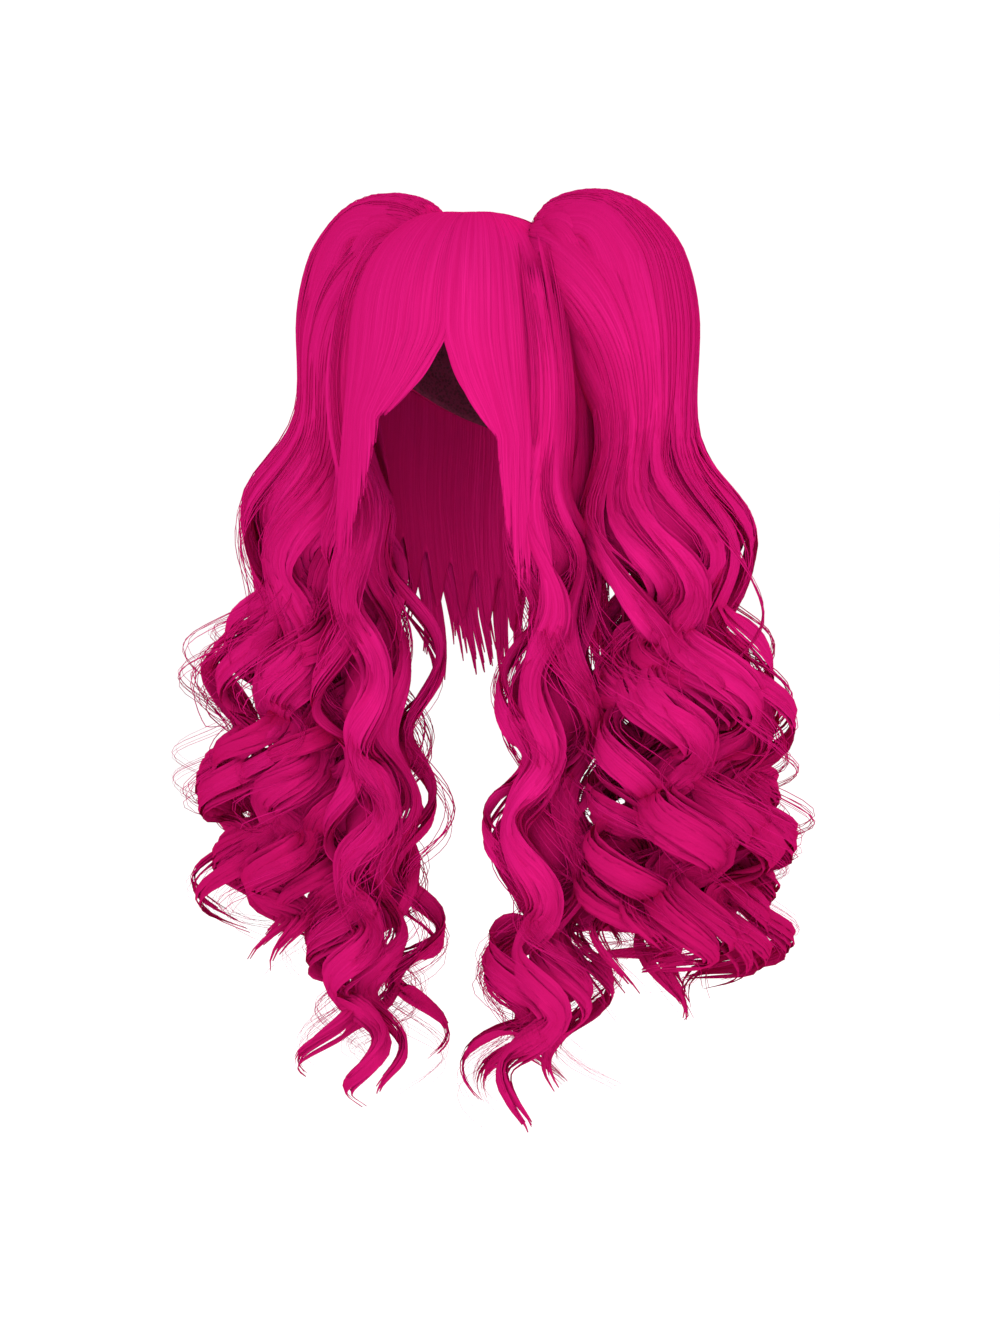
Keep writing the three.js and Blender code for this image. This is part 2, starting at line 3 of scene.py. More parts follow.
import bpy
import numpy as np
from bpy.props import FloatProperty, FloatVectorProperty, IntProperty, PointerProperty
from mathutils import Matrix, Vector


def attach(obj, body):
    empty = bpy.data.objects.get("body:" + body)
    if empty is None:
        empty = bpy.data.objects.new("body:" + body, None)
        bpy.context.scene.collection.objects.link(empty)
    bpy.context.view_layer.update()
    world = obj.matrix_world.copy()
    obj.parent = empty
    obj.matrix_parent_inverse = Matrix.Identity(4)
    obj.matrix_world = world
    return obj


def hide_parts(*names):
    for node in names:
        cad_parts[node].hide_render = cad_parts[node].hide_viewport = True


bl_info = {
    "name": "Curly pigtail wig",
    "version": (1, 0, 0),
    "blender": (4, 5, 0),
    "location": "3D View > Sidebar > Wig",
    "description": "Combs the hair of a long curly wig with two pigtails over its packed model",
    "category": "Object",
}

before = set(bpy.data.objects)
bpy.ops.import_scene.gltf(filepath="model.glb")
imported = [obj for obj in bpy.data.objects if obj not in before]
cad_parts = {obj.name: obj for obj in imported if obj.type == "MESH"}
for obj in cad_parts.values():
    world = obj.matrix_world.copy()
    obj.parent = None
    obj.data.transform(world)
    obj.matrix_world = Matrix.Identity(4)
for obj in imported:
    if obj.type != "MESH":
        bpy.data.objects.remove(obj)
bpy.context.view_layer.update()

SIDES = {"right": -1, "left": 1}
TURN = 2 * math.pi

# How a combed panel lies: the share of its length that rests on the head
LYING_SHARE = 0.5

# The notch of the fringe: the height of its top as a share of the fringe's drop, and how round its sides are
NOTCH_TOP = 0.38
NOTCH_ROUNDING = 1.6

# Where the point of each half of the fringe lies between the parting and the fringe's end, and how much
# longer than the fringe the strands at its end grow, to lie over the locks beside the face
FRINGE_POINTS = {"right": 0.36, "left": 0.5}
FRINGE_BLEND = 0.5

# How the curls' lag runs round a sheaf, and where it begins on each side
SHEAF_LAG = 0.2
PIGTAIL_LAG_TURN = {"right": 0.3, "left": 0.1}
SIDE_LAG_TURN = {"right": 0.1, "left": 0.3}

# The middle line of a pigtail. Columns: out, back, rise, drop (shares of the named sizes), wide, deep (shares
# of the sheaf's half width), inner (what is left of deep inside a sharp bend), lock and curl (shares of the
# hair's thickness on the surface and of the curls' radius), and turn (the turns of the curls so far)
PIGTAIL_ROWS = np.array(
    [
        (0.3, 0.9, -2.0, 0.0, 0.34, 0.3, 0.6, 0.6, 0.0, 0.0),
        (0.42, 0.9, -0.85, 0.0, 0.54, 0.54, 0.3, 0.8, 0.0, 0.0),
        (0.56, 0.9, -0.5, 0.0, 0.64, 0.42, 0.35, 0.9, 0.02, 0.1),
        (0.64, 1.0, 0.0, 0.055, 0.7, 0.63, 0.75, 0.9, 0.04, 0.2),
        (0.69, 1.0, 0.0, 0.125, 0.74, 0.7, 1.0, 0.9, 0.06, 0.3),
        (0.755, 1.0, 0.0, 0.23, 0.72, 0.56, 1.0, 0.9, 0.16, 0.5),
        (0.86, 0.75, 0.0, 0.37, 0.78, 0.7, 1.0, 1.0, 0.62, 1.0),
        (0.93, 0.65, 0.0, 0.48, 0.84, 0.82, 1.0, 1.0, 0.7, 1.5),
        (0.98, 0.5, 0.0, 0.57, 0.9, 0.92, 1.0, 1.0, 0.75, 2.0),
        (1.0, 0.35, 0.0, 0.65, 0.92, 0.96, 1.0, 1.0, 0.8, 2.5),
        (1.0, 0.25, 0.0, 0.72, 0.94, 1.0, 1.0, 1.0, 0.8, 3.0),
        (0.98, 0.15, 0.0, 0.79, 0.94, 1.0, 1.0, 1.0, 0.8, 3.5),
        (0.94, 0.0, 0.0, 0.86, 0.9, 0.96, 1.0, 1.0, 0.8, 4.0),
        (0.86, -0.3, 0.0, 0.93, 0.82, 0.84, 1.0, 1.0, 0.75, 4.5),
        (0.74, -0.7, 0.0, 1.0, 0.66, 0.64, 1.0, 0.9, 0.7, 5.0),
    ]
)

# The middle line of a lock beside the face. Columns: out, front, drop, then the same ones from wide to turn
SIDE_ROWS = np.array(
    [
        (0.75, 0.34, 0.005, 0.24, 0.04, 1.0, 0.6, 0.0, 0.0),
        (0.98, 0.6, 0.07, 0.26, 0.05, 1.0, 0.8, 0.0, 0.0),
        (1.1, 0.66, 0.15, 0.28, 0.06, 1.0, 0.8, 0.04, 0.2),
        (1.08, 0.6, 0.25, 0.34, 0.14, 1.0, 0.9, 0.2, 0.5),
        (1.03, 0.5, 0.35, 0.42, 0.3, 1.0, 1.0, 0.5, 1.0),
        (1.01, 0.4, 0.44, 0.5, 0.42, 1.0, 1.0, 0.6, 1.5),
        (1.0, 0.36, 0.53, 0.55, 0.48, 1.0, 1.0, 0.7, 2.0),
        (1.0, 0.36, 0.61, 0.58, 0.52, 1.0, 1.0, 0.8, 2.5),
        (1.0, 0.4, 0.69, 0.6, 0.56, 1.0, 1.0, 0.8, 3.0),
        (0.99, 0.5, 0.77, 0.6, 0.56, 1.0, 1.0, 0.85, 3.5),
        (0.98, 0.6, 0.85, 0.56, 0.52, 1.0, 1.0, 0.85, 4.0),
        (0.95, 0.7, 0.93, 0.5, 0.5, 1.0, 1.0, 0.85, 4.5),
        (0.92, 0.7, 1.0, 0.4, 0.4, 1.0, 0.9, 0.7, 5.0),
    ]
)

# The middle line of the hair that falls straight from the top of a pigtail's arch, beside the head
FALL_ROWS = np.vstack(
    [
        [
            (0.36, 0.9, -1.4, 0.0, 0.4, 0.2, 1.0, 0.6, 0.0, 0.0),
            (0.4, 0.9, -0.55, 0.0, 0.54, 0.3, 1.0, 0.8, 0.0, 0.0),
            (0.46, 0.9, -0.6, 0.0, 0.64, 0.4, 1.0, 0.9, 0.02, 0.1),
            (0.53, 1.0, 0.0, 0.06, 0.7, 0.5, 1.0, 0.9, 0.04, 0.2),
            (0.61, 1.0, 0.0, 0.13, 0.74, 0.6, 1.0, 0.9, 0.06, 0.3),
        ],
        PIGTAIL_ROWS[5:],
    ]
)

# Cross-sections of a tress as shares of its half width and half thickness, the outer side first
RIBBON = np.array([(1.0, 0.0), (0.0, 1.0), (-1.0, 0.0), (0.0, -0.5)])
THREAD = np.array([(1.0, -0.5), (0.0, 1.0), (-1.0, -0.5)])

# How much of the strands' map a ring of a base takes up, in metres
BASE_MAP_WIDTH = 0.3

# The colour of the darker fibres, as a share of the way from the main colour to the deep one, which is also
# the colour of painted shade
DUSK = 0.45

# The least size of a tress's ends, before the power that rounds them
FINEST_END = 0.03

# How far the tresses differ from each other in size, and the deepest shade that one has of its own
OWN_SIZES = (0.8, 1.25)
PANEL_SIZES = (0.75, 1.25)
OWN_SHADE = 0.12

# How uneven the widths of ribbons and of small locks are
UNEVEN_CLUMPS = 0.5


def length(name, default, description):
    """A length property in metres."""
    return FloatProperty(name=name, default=default, min=0.0, unit="LENGTH", description=description)


def angle(name, degrees, description):
    """An angle property, given in degrees and kept in radians."""
    return FloatProperty(name=name, default=math.radians(degrees), subtype="ANGLE", description=description)


def colour(name, default, description):
    """A linear colour property."""
    return FloatVectorProperty(
        name=name, default=default, subtype="COLOR", min=0.0, max=1.0, size=3, description=description
    )


class WigSizes(bpy.types.PropertyGroup):
    """Sizes of the wig, in metres"""

    head_half_width: length("Head half width", 0.076, "Half of the head's width inside the cap")
    head_half_depth: length("Head half depth", 0.095, "Half of the head's depth inside the cap")
    dome_height: length("Dome height", 0.105, "Height of the crown above the head's widest level")
    nape_height: length("Nape height", 0.15, "How far the head narrows below its widest level")
    dome_squareness: FloatProperty(
        name="Dome squareness", default=2.4, min=1.0, description="2 is an ellipse, and more is squarer"
    )
    cap_wall: length("Cap wall", 0.002, "Thickness of the cap's wall")
    forehead_rim: length("Forehead rim", 0.066, "Drop of the cap's rim at the forehead")
    nape_rim: length("Nape rim", 0.162, "Drop of the cap's rim at the nape")
    crown_outside: length("Crown outside", 0.0083, "Outer face of the crown's hair, measured from the head")
    layer_inside: length("Layer inside", 0.0092, "Inner face of the fringe and the curtain, from the head")
    layer_thickness: length("Layer thickness", 0.007, "Thickness of the fringe and of the curtain")
    parting_bearing: angle("Parting", 19, "Bearing of the fringe's parting, towards the wearer's left")
    fringe_bearing: angle("Fringe reach", 66, "Bearing where the fringe ends on either side")
    fringe_drop: length("Fringe drop", 0.2, "Drop of the fringe's longest strands below the crown")
    fringe_flare: FloatProperty(
        name="Fringe flare", default=0.09, description="Swing outwards per length of fall"
    )
    back_bearing: angle("Curtain edge", 69, "Bearing where the curtain round the back begins")
    back_drop: length("Curtain drop", 0.385, "Drop of the curtain's longest strands below the crown")
    back_wave: length("Curtain wave", 0.005, "Height of the curtain's waves")
    pigtail_out: length("Pigtail out", 0.17, "How far a pigtail's middle hangs from the wig's middle")
    pigtail_back: length("Pigtail back", 0.024, "How far a pigtail's middle hangs behind the ears")
    pigtail_rise: length("Pigtail rise", 0.022, "Scale of the rise of a pigtail over its clip")
    pigtail_drop: length("Pigtail drop", 0.61, "Drop of the end of a pigtail's middle line")
    sheaf_half_width: length("Sheaf half width", 0.056, "Half width of a full sheaf of locks")
    curl_radius: length("Curl radius", 0.029, "Radius of the pigtails' curls")
    lock_half_thickness: length("Lock half thickness", 0.011, "Hair laid on a sheaf's surface")
    side_out: length("Side lock out", 0.076, "How far a side lock hangs from the wig's middle")
    side_front: length("Side lock front", 0.066, "How far a side lock hangs in front of the ears")
    side_drop: length("Side lock drop", 0.676, "Drop of the end of a side lock's middle line")
    side_curl_radius: length("Side curl radius", 0.022, "Radius of the side locks' curls")
    tress_half_width: length("Tress half width", 0.0042, "Half width of a tress in a sheaf")
    tress_half_thickness: length("Tress half thickness", 0.0009, "Half thickness of a tress in a sheaf")
    strand_radius: length("Strand radius", 0.00035, "Radius of a bundle of a few loose fibres")
    seed: IntProperty(
        name="Seed", default=11, min=0, description="Start of the random scatter of the strands"
    )


class WigColours(bpy.types.PropertyGroup):
    """Colours and light of the wig"""

    hair: colour("Hair", (0.56, 0.006, 0.14), "Main colour of the fibre")
    hair_bright: colour("Bright hair", (0.69, 0.012, 0.2), "Fibres that catch the light")
    # This deep colour is painted shade: the hair is mixed towards it deep inside the sheaves, under the
    # tresses, at the roots, at the top of the pigtails and low on the locks, and the darker fibres go part of
    # the way to it
    hair_dark_and_painted_shade: colour("Deep hair", (0.46, 0.005, 0.1), "Fibres deep inside the sheaf and low in it")
    cap_net: colour("Cap net", (0.16, 0.006, 0.045), "Elastic net of the cap")
    clip: colour("Clip", (0.025, 0.004, 0.01), "Plastic of the hidden clips")
    floor: colour("Floor", (0.96, 0.96, 0.96), "Plain floor under the wig")


def head_point(sizes, bearing, slope, grow):
    """Points on the head grown by a layer: a dome of a rounded square section above the widest level, and
    below it an ellipse that narrows as the sine of the slope, at a depth that goes with its cosine. Bearing 0
    is straight ahead, and slope 0 is the crown."""
    bearing, slope, grow = np.broadcast_arrays(bearing, slope, grow)
    flat = np.abs(np.sin(slope))
    upright = np.cos(slope)
    power = sizes.dome_squareness
    rounding = (flat**power + np.abs(upright) ** power) ** (-1 / power)
    dome = upright > 0
    reach = np.where(dome, flat * rounding, flat)
    level = np.where(dome, (sizes.dome_height + grow) * upright * rounding, sizes.nape_height * upright)
    x = (sizes.head_half_width + grow) * reach * np.sin(bearing)
    y = -(sizes.head_half_depth + grow) * reach * np.cos(bearing)
    return np.stack([x, y, level - sizes.dome_height], axis=-1)


def slope_at(sizes, drop):
    """The slope at which the head's surface lies a drop below the crown."""
    below = drop - sizes.dome_height
    if below > 0:
        return math.acos(-min(1.0, below / sizes.nape_height))
    up = (-below / sizes.dome_height) ** sizes.dome_squareness
    return math.atan2((1 - up) ** (1 / sizes.dome_squareness), up ** (1 / sizes.dome_squareness))


def rim_slope(sizes, bearing):
    """The slope of the cap's rim, from the forehead's to the nape's as half of one minus the cosine of the
    bearing."""
    share = (1 - np.cos(bearing)) / 2
    return slope_at(sizes, sizes.forehead_rim) * (1 - share) + slope_at(sizes, sizes.nape_rim) * share


def falling_point(sizes, bearing, start, leave, drop, flare, grow, along):
    """Points of strands that lie on the head from the start slope to the leaving slope for the first half of
    their length, and then hang straight down to their drop, swinging outwards by flare for each length of
    fall."""
    shape = np.broadcast_shapes(*(np.shape(v) for v in (bearing, start, leave, drop, grow, along)))
    bearing, start, leave, drop, grow, along = (
        np.broadcast_to(v, shape) for v in (bearing, start, leave, drop, grow, along)
    )
    lying = np.clip(along / LYING_SHARE, 0, 1)
    on_head = head_point(sizes, bearing, start + (leave - start) * lying, grow)
    hung = np.maximum(0, drop + on_head[..., 2]) * np.clip((along - LYING_SHARE) / (1 - LYING_SHARE), 0, 1)
    away = on_head * np.array([1.0, 1.0, 0.0])
    away /= np.maximum(np.linalg.norm(away, axis=-1, keepdims=True), 1e-9)
    return on_head + away * (flare * hung)[..., None] - hung[..., None] * np.array([0.0, 0.0, 1.0])


def spline(rows, t):
    """A Catmull-Rom curve through the rows at the shares t of their count, and its derivative: each span is
    the cubic whose end slopes are half of the chord between the rows on both sides."""
    ends = np.vstack([2 * rows[:1] - rows[1:2], rows, 2 * rows[-1:] - rows[-2:-1]])
    place = np.clip(t, 0, 1) * (len(rows) - 1)
    row = np.minimum(place.astype(int), len(rows) - 2)
    w = (place - row)[..., None]
    before, here, following, after = (ends[row + i] for i in range(4))
    leaving = 0.5 * (following - before)
    arriving = 0.5 * (after - here)
    cubic = 2 * here - 2 * following + leaving + arriving
    square = -3 * here + 3 * following - 2 * leaving - arriving
    return ((cubic * w + square) * w + leaving) * w + here, (3 * cubic * w + 2 * square) * w + leaving


def unit(vectors):
    """The vectors, each divided by its length."""
    return vectors / np.maximum(np.linalg.norm(vectors, axis=-1, keepdims=True), 1e-12)


class MiddleLine:
    """The middle line of a sheaf of hair with its own axes: across lies as near the wearer's back as it can,
    and bend points away from the wig's middle at the top of the arch."""

    def __init__(self, side, points, girth):
        self.side = side
        self.points = points
        self.girth = girth

    def at(self, t):
        """The line's place, axes and columns at the shares t."""
        point, heading = spline(self.points, t)
        columns, _ = spline(self.girth, t)
        heading = unit(heading)
        across = unit(np.array([0.0, 1.0, 0.0]) - heading * heading[..., 1:2])
        bend = self.side * np.cross(heading, across)
        names = ("wide", "deep", "inner", "lock", "curl", "turn")
        return {
            "point": point,
            "across": across,
            "bend": bend,
            **{name: columns[..., i] for i, name in enumerate(names)},
        }


def clear_of_head(sizes, points, grow):
    """The points, with those inside the head grown by a layer moved straight out from its upright axis to its
    surface: at each level that lies at the dome's or the neck's share of the half width and half depth."""
    level = points[..., 2] + sizes.dome_height
    up = np.clip(level / (sizes.dome_height + grow), 0, 1)
    dome = (1 - up**sizes.dome_squareness) ** (1 / sizes.dome_squareness)
    neck = np.sqrt(np.clip(1 - (level / sizes.nape_height) ** 2, 0, 1))
    edge = np.where(level > 0, dome, neck)
    across = points[..., 0] / (sizes.head_half_width + grow)
    deep = points[..., 1] / (sizes.head_half_depth + grow)
    reach = np.maximum(np.hypot(across, deep), 1e-6)
    scale = np.maximum(1, edge / reach)
    return points * np.stack([scale, scale, np.ones_like(scale)], axis=-1)


def pigtail_line(sizes, side, rows=PIGTAIL_ROWS):
    """The middle line of one pigtail."""
    out, back, rise, drop = rows[:, :4].T
    height = sizes.pigtail_rise * rise - sizes.pigtail_drop * drop
    points = np.stack([side * sizes.pigtail_out * out, sizes.pigtail_back * back, height], axis=-1)
    return MiddleLine(side, points, rows[:, 4:])


def side_line(sizes, side):
    """The middle line of one lock beside the face."""
    out, front, drop = SIDE_ROWS[:, :3].T
    aside = side * sizes.side_out * out
    points = np.stack([aside, -sizes.side_front * front, -sizes.side_drop * drop], axis=-1)
    return MiddleLine(side, points, SIDE_ROWS[:, 3:])


def sheaf_point(sizes, at, around, lag, spread, skin, curl_radius, size=1.0, handed=1.0):
    """Points of a sheaf: the middle line, plus an ellipse of half sizes deep and wide round it, plus the
    circle that every curl runs round once a turn, shifted by the lag. Handed makes that circle an ellipse."""
    turn = TURN * (at["turn"] + lag)
    reach = spread * sizes.sheaf_half_width
    deep = (at["deep"] * reach + skin) * np.where(np.cos(around) < 0, at["inner"], 1.0)
    wide = at["wide"] * reach + skin
    bend = size * (np.cos(around) * deep + np.cos(turn) * at["curl"] * curl_radius)
    across = size * (np.sin(around) * wide + handed * np.sin(turn) * at["curl"] * curl_radius)
    return at["point"] + at["bend"] * bend[..., None] + at["across"] * across[..., None]


def smooth_step(x):
    """0 below 0 and 1 above 1, with the curve 3x2 - 2x3 between them."""
    x = np.clip(x, 0, 1)
    return x * x * (3 - 2 * x)


def build_mesh(name, vertices, corners, starts, uv, shade, tone):
    """A mesh from flat arrays: its points, the corners of its faces one face after another, where each face
    starts, the UV of each corner, and the shade and tone of each point."""
    mesh = bpy.data.meshes.new(name)
    mesh.vertices.add(len(vertices))
    mesh.vertices.foreach_set("co", vertices.astype(np.float32).ravel())
    mesh.loops.add(len(corners))
    mesh.loops.foreach_set("vertex_index", corners.astype(np.int32))
    mesh.polygons.add(len(starts))
    mesh.polygons.foreach_set("loop_start", starts.astype(np.int32))
    mesh.polygons.foreach_set("use_smooth", np.ones(len(starts), bool))
    mesh.update(calc_edges=True)
    mesh.uv_layers.new(name="Strand").data.foreach_set("uv", uv.astype(np.float32).ravel())
    for label, values in (("shade", shade), ("tone", tone)):
        mesh.attributes.new(label, "FLOAT", "POINT").data.foreach_set("value", values.astype(np.float32))
    mesh.validate()
    piece = bpy.data.objects.new(name, mesh)
    bpy.context.scene.collection.objects.link(piece)
    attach(piece, "root")
    return piece


def tress_mesh(name, rng, path, outward, half_width, half_thickness, shade, section=RIBBON):
    """Tresses as closed tubes of one cross-section carried along their paths. A section's first axis is the
    path's direction crossed with outward, its second is at a right angle to both, and both ends are closed by
    a face. A ribbon's edges at both ends of the first axis are sharp, so that it is shaded as flat."""
    count, steps = path.shape[:2]
    sides = len(section)
    heading = unit(np.gradient(path, axis=1))
    across = unit(np.cross(heading, outward))
    out = np.cross(across, heading)
    flat = section[:, 0] * half_width[..., None]
    thick = section[:, 1] * half_thickness[..., None]
    points = path[:, :, None] + across[:, :, None] * flat[..., None] + out[:, :, None] * thick[..., None]
    index = np.arange(count * steps * sides).reshape(count, steps, sides)
    following = np.roll(index, -1, axis=2)
    quads = np.stack([index[:, :-1], index[:, 1:], following[:, 1:], following[:, :-1]], axis=-1)
    quads = quads.reshape(-1, 4)
    caps = np.concatenate([index[:, 0], index[:, -1, ::-1]])
    corners = np.concatenate([quads.ravel(), caps.ravel()])
    starts = np.concatenate([np.arange(len(quads)) * 4, quads.size + np.arange(len(caps)) * sides])
    fallen = np.cumsum(np.linalg.norm(np.diff(path, axis=1, prepend=path[:, :1]), axis=-1), axis=1)
    offset = rng.uniform(0, 10, count)
    u = offset[:, None, None] + flat
    v = np.broadcast_to((fallen + offset[:, None])[..., None], u.shape)
    uv = np.stack([u, v], axis=-1).reshape(-1, 2)[corners]
    tone = np.broadcast_to(rng.uniform(0, 1, count)[:, None, None], u.shape)
    shades = np.broadcast_to(np.broadcast_to(shade, path.shape[:2])[..., None], u.shape)
    piece = build_mesh(name, points.reshape(-1, 3), corners, starts, uv, shades.ravel(), tone.ravel())
    if section is RIBBON:
        ends = np.empty(2 * len(piece.data.edges), np.int32)
        piece.data.edges.foreach_get("vertices", ends)
        places = ends.reshape(-1, 2) % sides
        sharp = (places[:, 0] == places[:, 1]) & (section[places[:, 0], 1] == 0)
        piece.data.attributes.new("sharp_edge", "BOOLEAN", "EDGE").data.foreach_set("value", sharp)
    return piece


def strip_across(ring):
    """Faces over the end of a flat ring, whose first half runs along one side of the flat and whose second
    half runs back along the other."""
    half = len(ring) // 2
    return np.stack([ring[: half - 1], ring[1:half], ring[-2 : -half - 1 : -1], ring[-1:-half:-1]], axis=-1)


def closed_mesh(name, points, shade, flat=False):
    """A surface that is closed round its second parameter: rows of rings, with one face over each open end,
    or where the rings are flat a strip of faces. The faces are turned to look away from its middle."""
    rings, sides = points.shape[:2]
    index = np.arange(rings * sides).reshape(rings, sides)
    following = np.roll(index, -1, axis=1)
    quads = np.stack([index[:-1], index[1:], following[1:], following[:-1]], axis=-1).reshape(-1, 4)
    centre = points.mean(axis=(0, 1))
    first = points.reshape(-1, 3)[quads]
    normals = np.cross(first[:, 1] - first[:, 0], first[:, 3] - first[:, 0])
    if (normals * (first.mean(axis=1) - centre)).sum() < 0:
        quads = quads[:, ::-1]
        index = index[:, ::-1]
    ends = (index[0], index[-1, ::-1])
    if flat:
        quads = np.concatenate([quads, *(strip_across(ring) for ring in ends)])
        corners, starts = quads.ravel(), np.arange(len(quads)) * 4
    else:
        corners = np.concatenate([quads.ravel(), *ends])
        starts = np.concatenate([np.arange(len(quads)) * 4, quads.size + np.arange(2) * sides])
    around = np.broadcast_to(np.arange(sides) / sides, (rings, sides))
    fallen = np.cumsum(np.linalg.norm(np.diff(points, axis=0, prepend=points[:1]), axis=-1), axis=0)
    uv = np.stack([around * BASE_MAP_WIDTH, fallen], axis=-1).reshape(-1, 2)[corners]
    shades = np.broadcast_to(shade, (rings, sides)).ravel()
    return build_mesh(name, points.reshape(-1, 3), corners, starts, uv, shades, np.full(shades.shape, 0.5))


def node_of(tree, kind, label, **inputs):
    """A node of a kind, with a label and with constants on the named inputs."""
    node = tree.nodes.new(kind)
    node.label = label
    for key, value in inputs.items():
        node.inputs[key.replace("_", " ")].default_value = value
    return node


def linked(tree, source, target):
    """Links one socket to another."""
    tree.links.new(source, target)


def noise_along(tree, label, across, along, detail):
    """Noise that is drawn out along the strands: across and along are its repeats per metre of the UV map."""
    place = node_of(tree, "ShaderNodeTexCoord", label + " place")
    stretch = node_of(tree, "ShaderNodeMapping", label + " stretch", Scale=(across, along, 1.0))
    noise = node_of(tree, "ShaderNodeTexNoise", label, Scale=1.0, Detail=detail, Roughness=0.6)
    linked(tree, place.outputs["UV"], stretch.inputs["Vector"])
    linked(tree, stretch.outputs["Vector"], noise.inputs["Vector"])
    return noise.outputs["Fac"]


def ranged(tree, label, value, low, high, to_low, to_high):
    """A value brought from one range to another and held inside it."""
    node = node_of(tree, "ShaderNodeMapRange", label)
    node.clamp = True
    for key, number in (("From Min", low), ("From Max", high), ("To Min", to_low), ("To Max", to_high)):
        node.inputs[key].default_value = number
    linked(tree, value, node.inputs["Value"])
    return node.outputs["Result"]


def mixed(tree, label, factor, first, second):
    """Two colours mixed by a factor. Each colour is a socket or a constant."""
    node = tree.nodes.new("ShaderNodeMix")
    node.label = label
    node.data_type = "RGBA"
    linked(tree, factor, node.inputs["Factor"])
    for socket, value in ((node.inputs[6], first), (node.inputs[7], second)):
        if isinstance(value, bpy.types.NodeSocket):
            linked(tree, value, socket)
        else:
            socket.default_value = (*value, 1.0)
    return node.outputs[2]


def attribute(tree, name):
    """A point attribute of the piece."""
    node = node_of(tree, "ShaderNodeAttribute", name)
    node.attribute_name = name
    return node.outputs["Fac"]


def new_material(name):
    """A material with one Principled shader, and the two."""
    material = bpy.data.materials.new(name)
    material.use_nodes = True
    return material, material.node_tree, material.node_tree.nodes["Principled BSDF"]


def hair_material(colours):
    """Satin synthetic fibre: fine strands of three tones along the UV map, deeper in colour where the shade
    attribute says so, which holds painted shade as well as each tress's own darker tone, with fine bump."""
    material = bpy.data.materials.get("Hair fibre")
    if material:
        return material
    material, tree, shader = new_material("Hair fibre")
    fine = ranged(tree, "Fine fibres", noise_along(tree, "Fine strands", 900, 9, 2.0), 0.35, 0.65, 0.0, 1.0)
    broad = ranged(tree, "Broad tones", noise_along(tree, "Broad strands", 260, 5, 1.0), 0.3, 0.7, 0.0, 1.0)
    light = mixed(tree, "Fibre tones", fine, tuple(colours.hair), tuple(colours.hair_bright))
    dusk = [(1 - DUSK) * main + DUSK * deep for main, deep in zip(colours.hair, colours.hair_dark_and_painted_shade)]
    toned = mixed(tree, "Bundles", ranged(tree, "Bundle share", broad, 0, 1, 0.5, 0.0), light, tuple(dusk))
    tress_share = ranged(tree, "Tress share", attribute(tree, "tone"), 0, 1, 0, 0.15)
    varied = mixed(tree, "Tress tones", tress_share, toned, tuple(dusk))
    # Painted shade: the colour is mixed towards the deep one as far as the shade attribute says
    depth = mixed(tree, "Depth", attribute(tree, "shade"), varied, tuple(colours.hair_dark_and_painted_shade))
    linked(tree, depth, shader.inputs["Base Color"])
    linked(tree, ranged(tree, "Satin", fine, 0, 1, 0.5, 0.38), shader.inputs["Roughness"])
    shader.inputs["Specular IOR Level"].default_value = 0.0
    shader.inputs["Specular Tint"].default_value = (1.0, 0.05, 0.3, 1.0)
    shader.inputs["Metallic"].default_value = 0.2
    bump = node_of(tree, "ShaderNodeBump", "Fibre relief", Strength=0.5, Distance=0.0005)
    linked(tree, fine, bump.inputs["Height"])
    linked(tree, bump.outputs["Normal"], shader.inputs["Normal"])
    return material


def cap_material(colours):
    """Elastic net: a fine square weave of two tones with bump, in the piece's own coordinates."""
    material, tree, shader = new_material("Cap net")
    place = node_of(tree, "ShaderNodeTexCoord", "Place")
    weave = node_of(tree, "ShaderNodeTexVoronoi", "Net", Scale=420.0)
    linked(tree, place.outputs["Object"], weave.inputs["Vector"])
    holes = ranged(tree, "Holes", weave.outputs["Distance"], 0.2, 0.6, 0.0, 1.0)
    dark = tuple(0.45 * c for c in colours.cap_net)
    linked(tree, mixed(tree, "Net tones", holes, dark, tuple(colours.cap_net)), shader.inputs["Base Color"])
    shader.inputs["Roughness"].default_value = 0.85
    bump = node_of(tree, "ShaderNodeBump", "Net relief", Strength=0.5, Distance=0.0004)
    linked(tree, holes, bump.inputs["Height"])
    linked(tree, bump.outputs["Normal"], shader.inputs["Normal"])
    return material


def clip_material(colours):
    """Moulded plastic: one colour with a fine grain in its roughness and relief."""
    material, tree, shader = new_material("Clip plastic")
    place = node_of(tree, "ShaderNodeTexCoord", "Place")
    grain = node_of(tree, "ShaderNodeTexNoise", "Grain", Scale=900.0, Detail=2.0)
    linked(tree, place.outputs["Object"], grain.inputs["Vector"])
    shader.inputs["Base Color"].default_value = (*colours.clip, 1.0)
    gloss = ranged(tree, "Worn gloss", grain.outputs["Fac"], 0.3, 0.7, 0.35, 0.55)
    linked(tree, gloss, shader.inputs["Roughness"])
    bump = node_of(tree, "ShaderNodeBump", "Mould grain", Strength=0.2, Distance=0.0002)
    linked(tree, grain.outputs["Fac"], bump.inputs["Height"])
    linked(tree, bump.outputs["Normal"], shader.inputs["Normal"])
    return material


def finish_piece(piece, material):
    """Gives a piece its material."""
    piece.data.materials.append(material)
    return piece


def taper(v, root, tip, power=0.6):
    """1 along the middle, rising from 0 over the root's share and falling to 0 over the tip's."""
    root_part = np.clip(v / root, 0, 1) if root else np.ones_like(v)
    tip_part = np.clip((1 - v) / tip, 0, 1)
    return np.maximum(np.minimum(root_part, tip_part), FINEST_END) ** power


def wander(rng, count, v, size, waves=2.0):
    """A slow sway of each strand: a sine of its own phase and pace, growing along it."""
    phase = rng.uniform(0, TURN, (count, 1))
    pace = rng.uniform(0.5, 1.3, (count, 1)) * waves
    return size * np.sin(phase + TURN * pace * v) * v


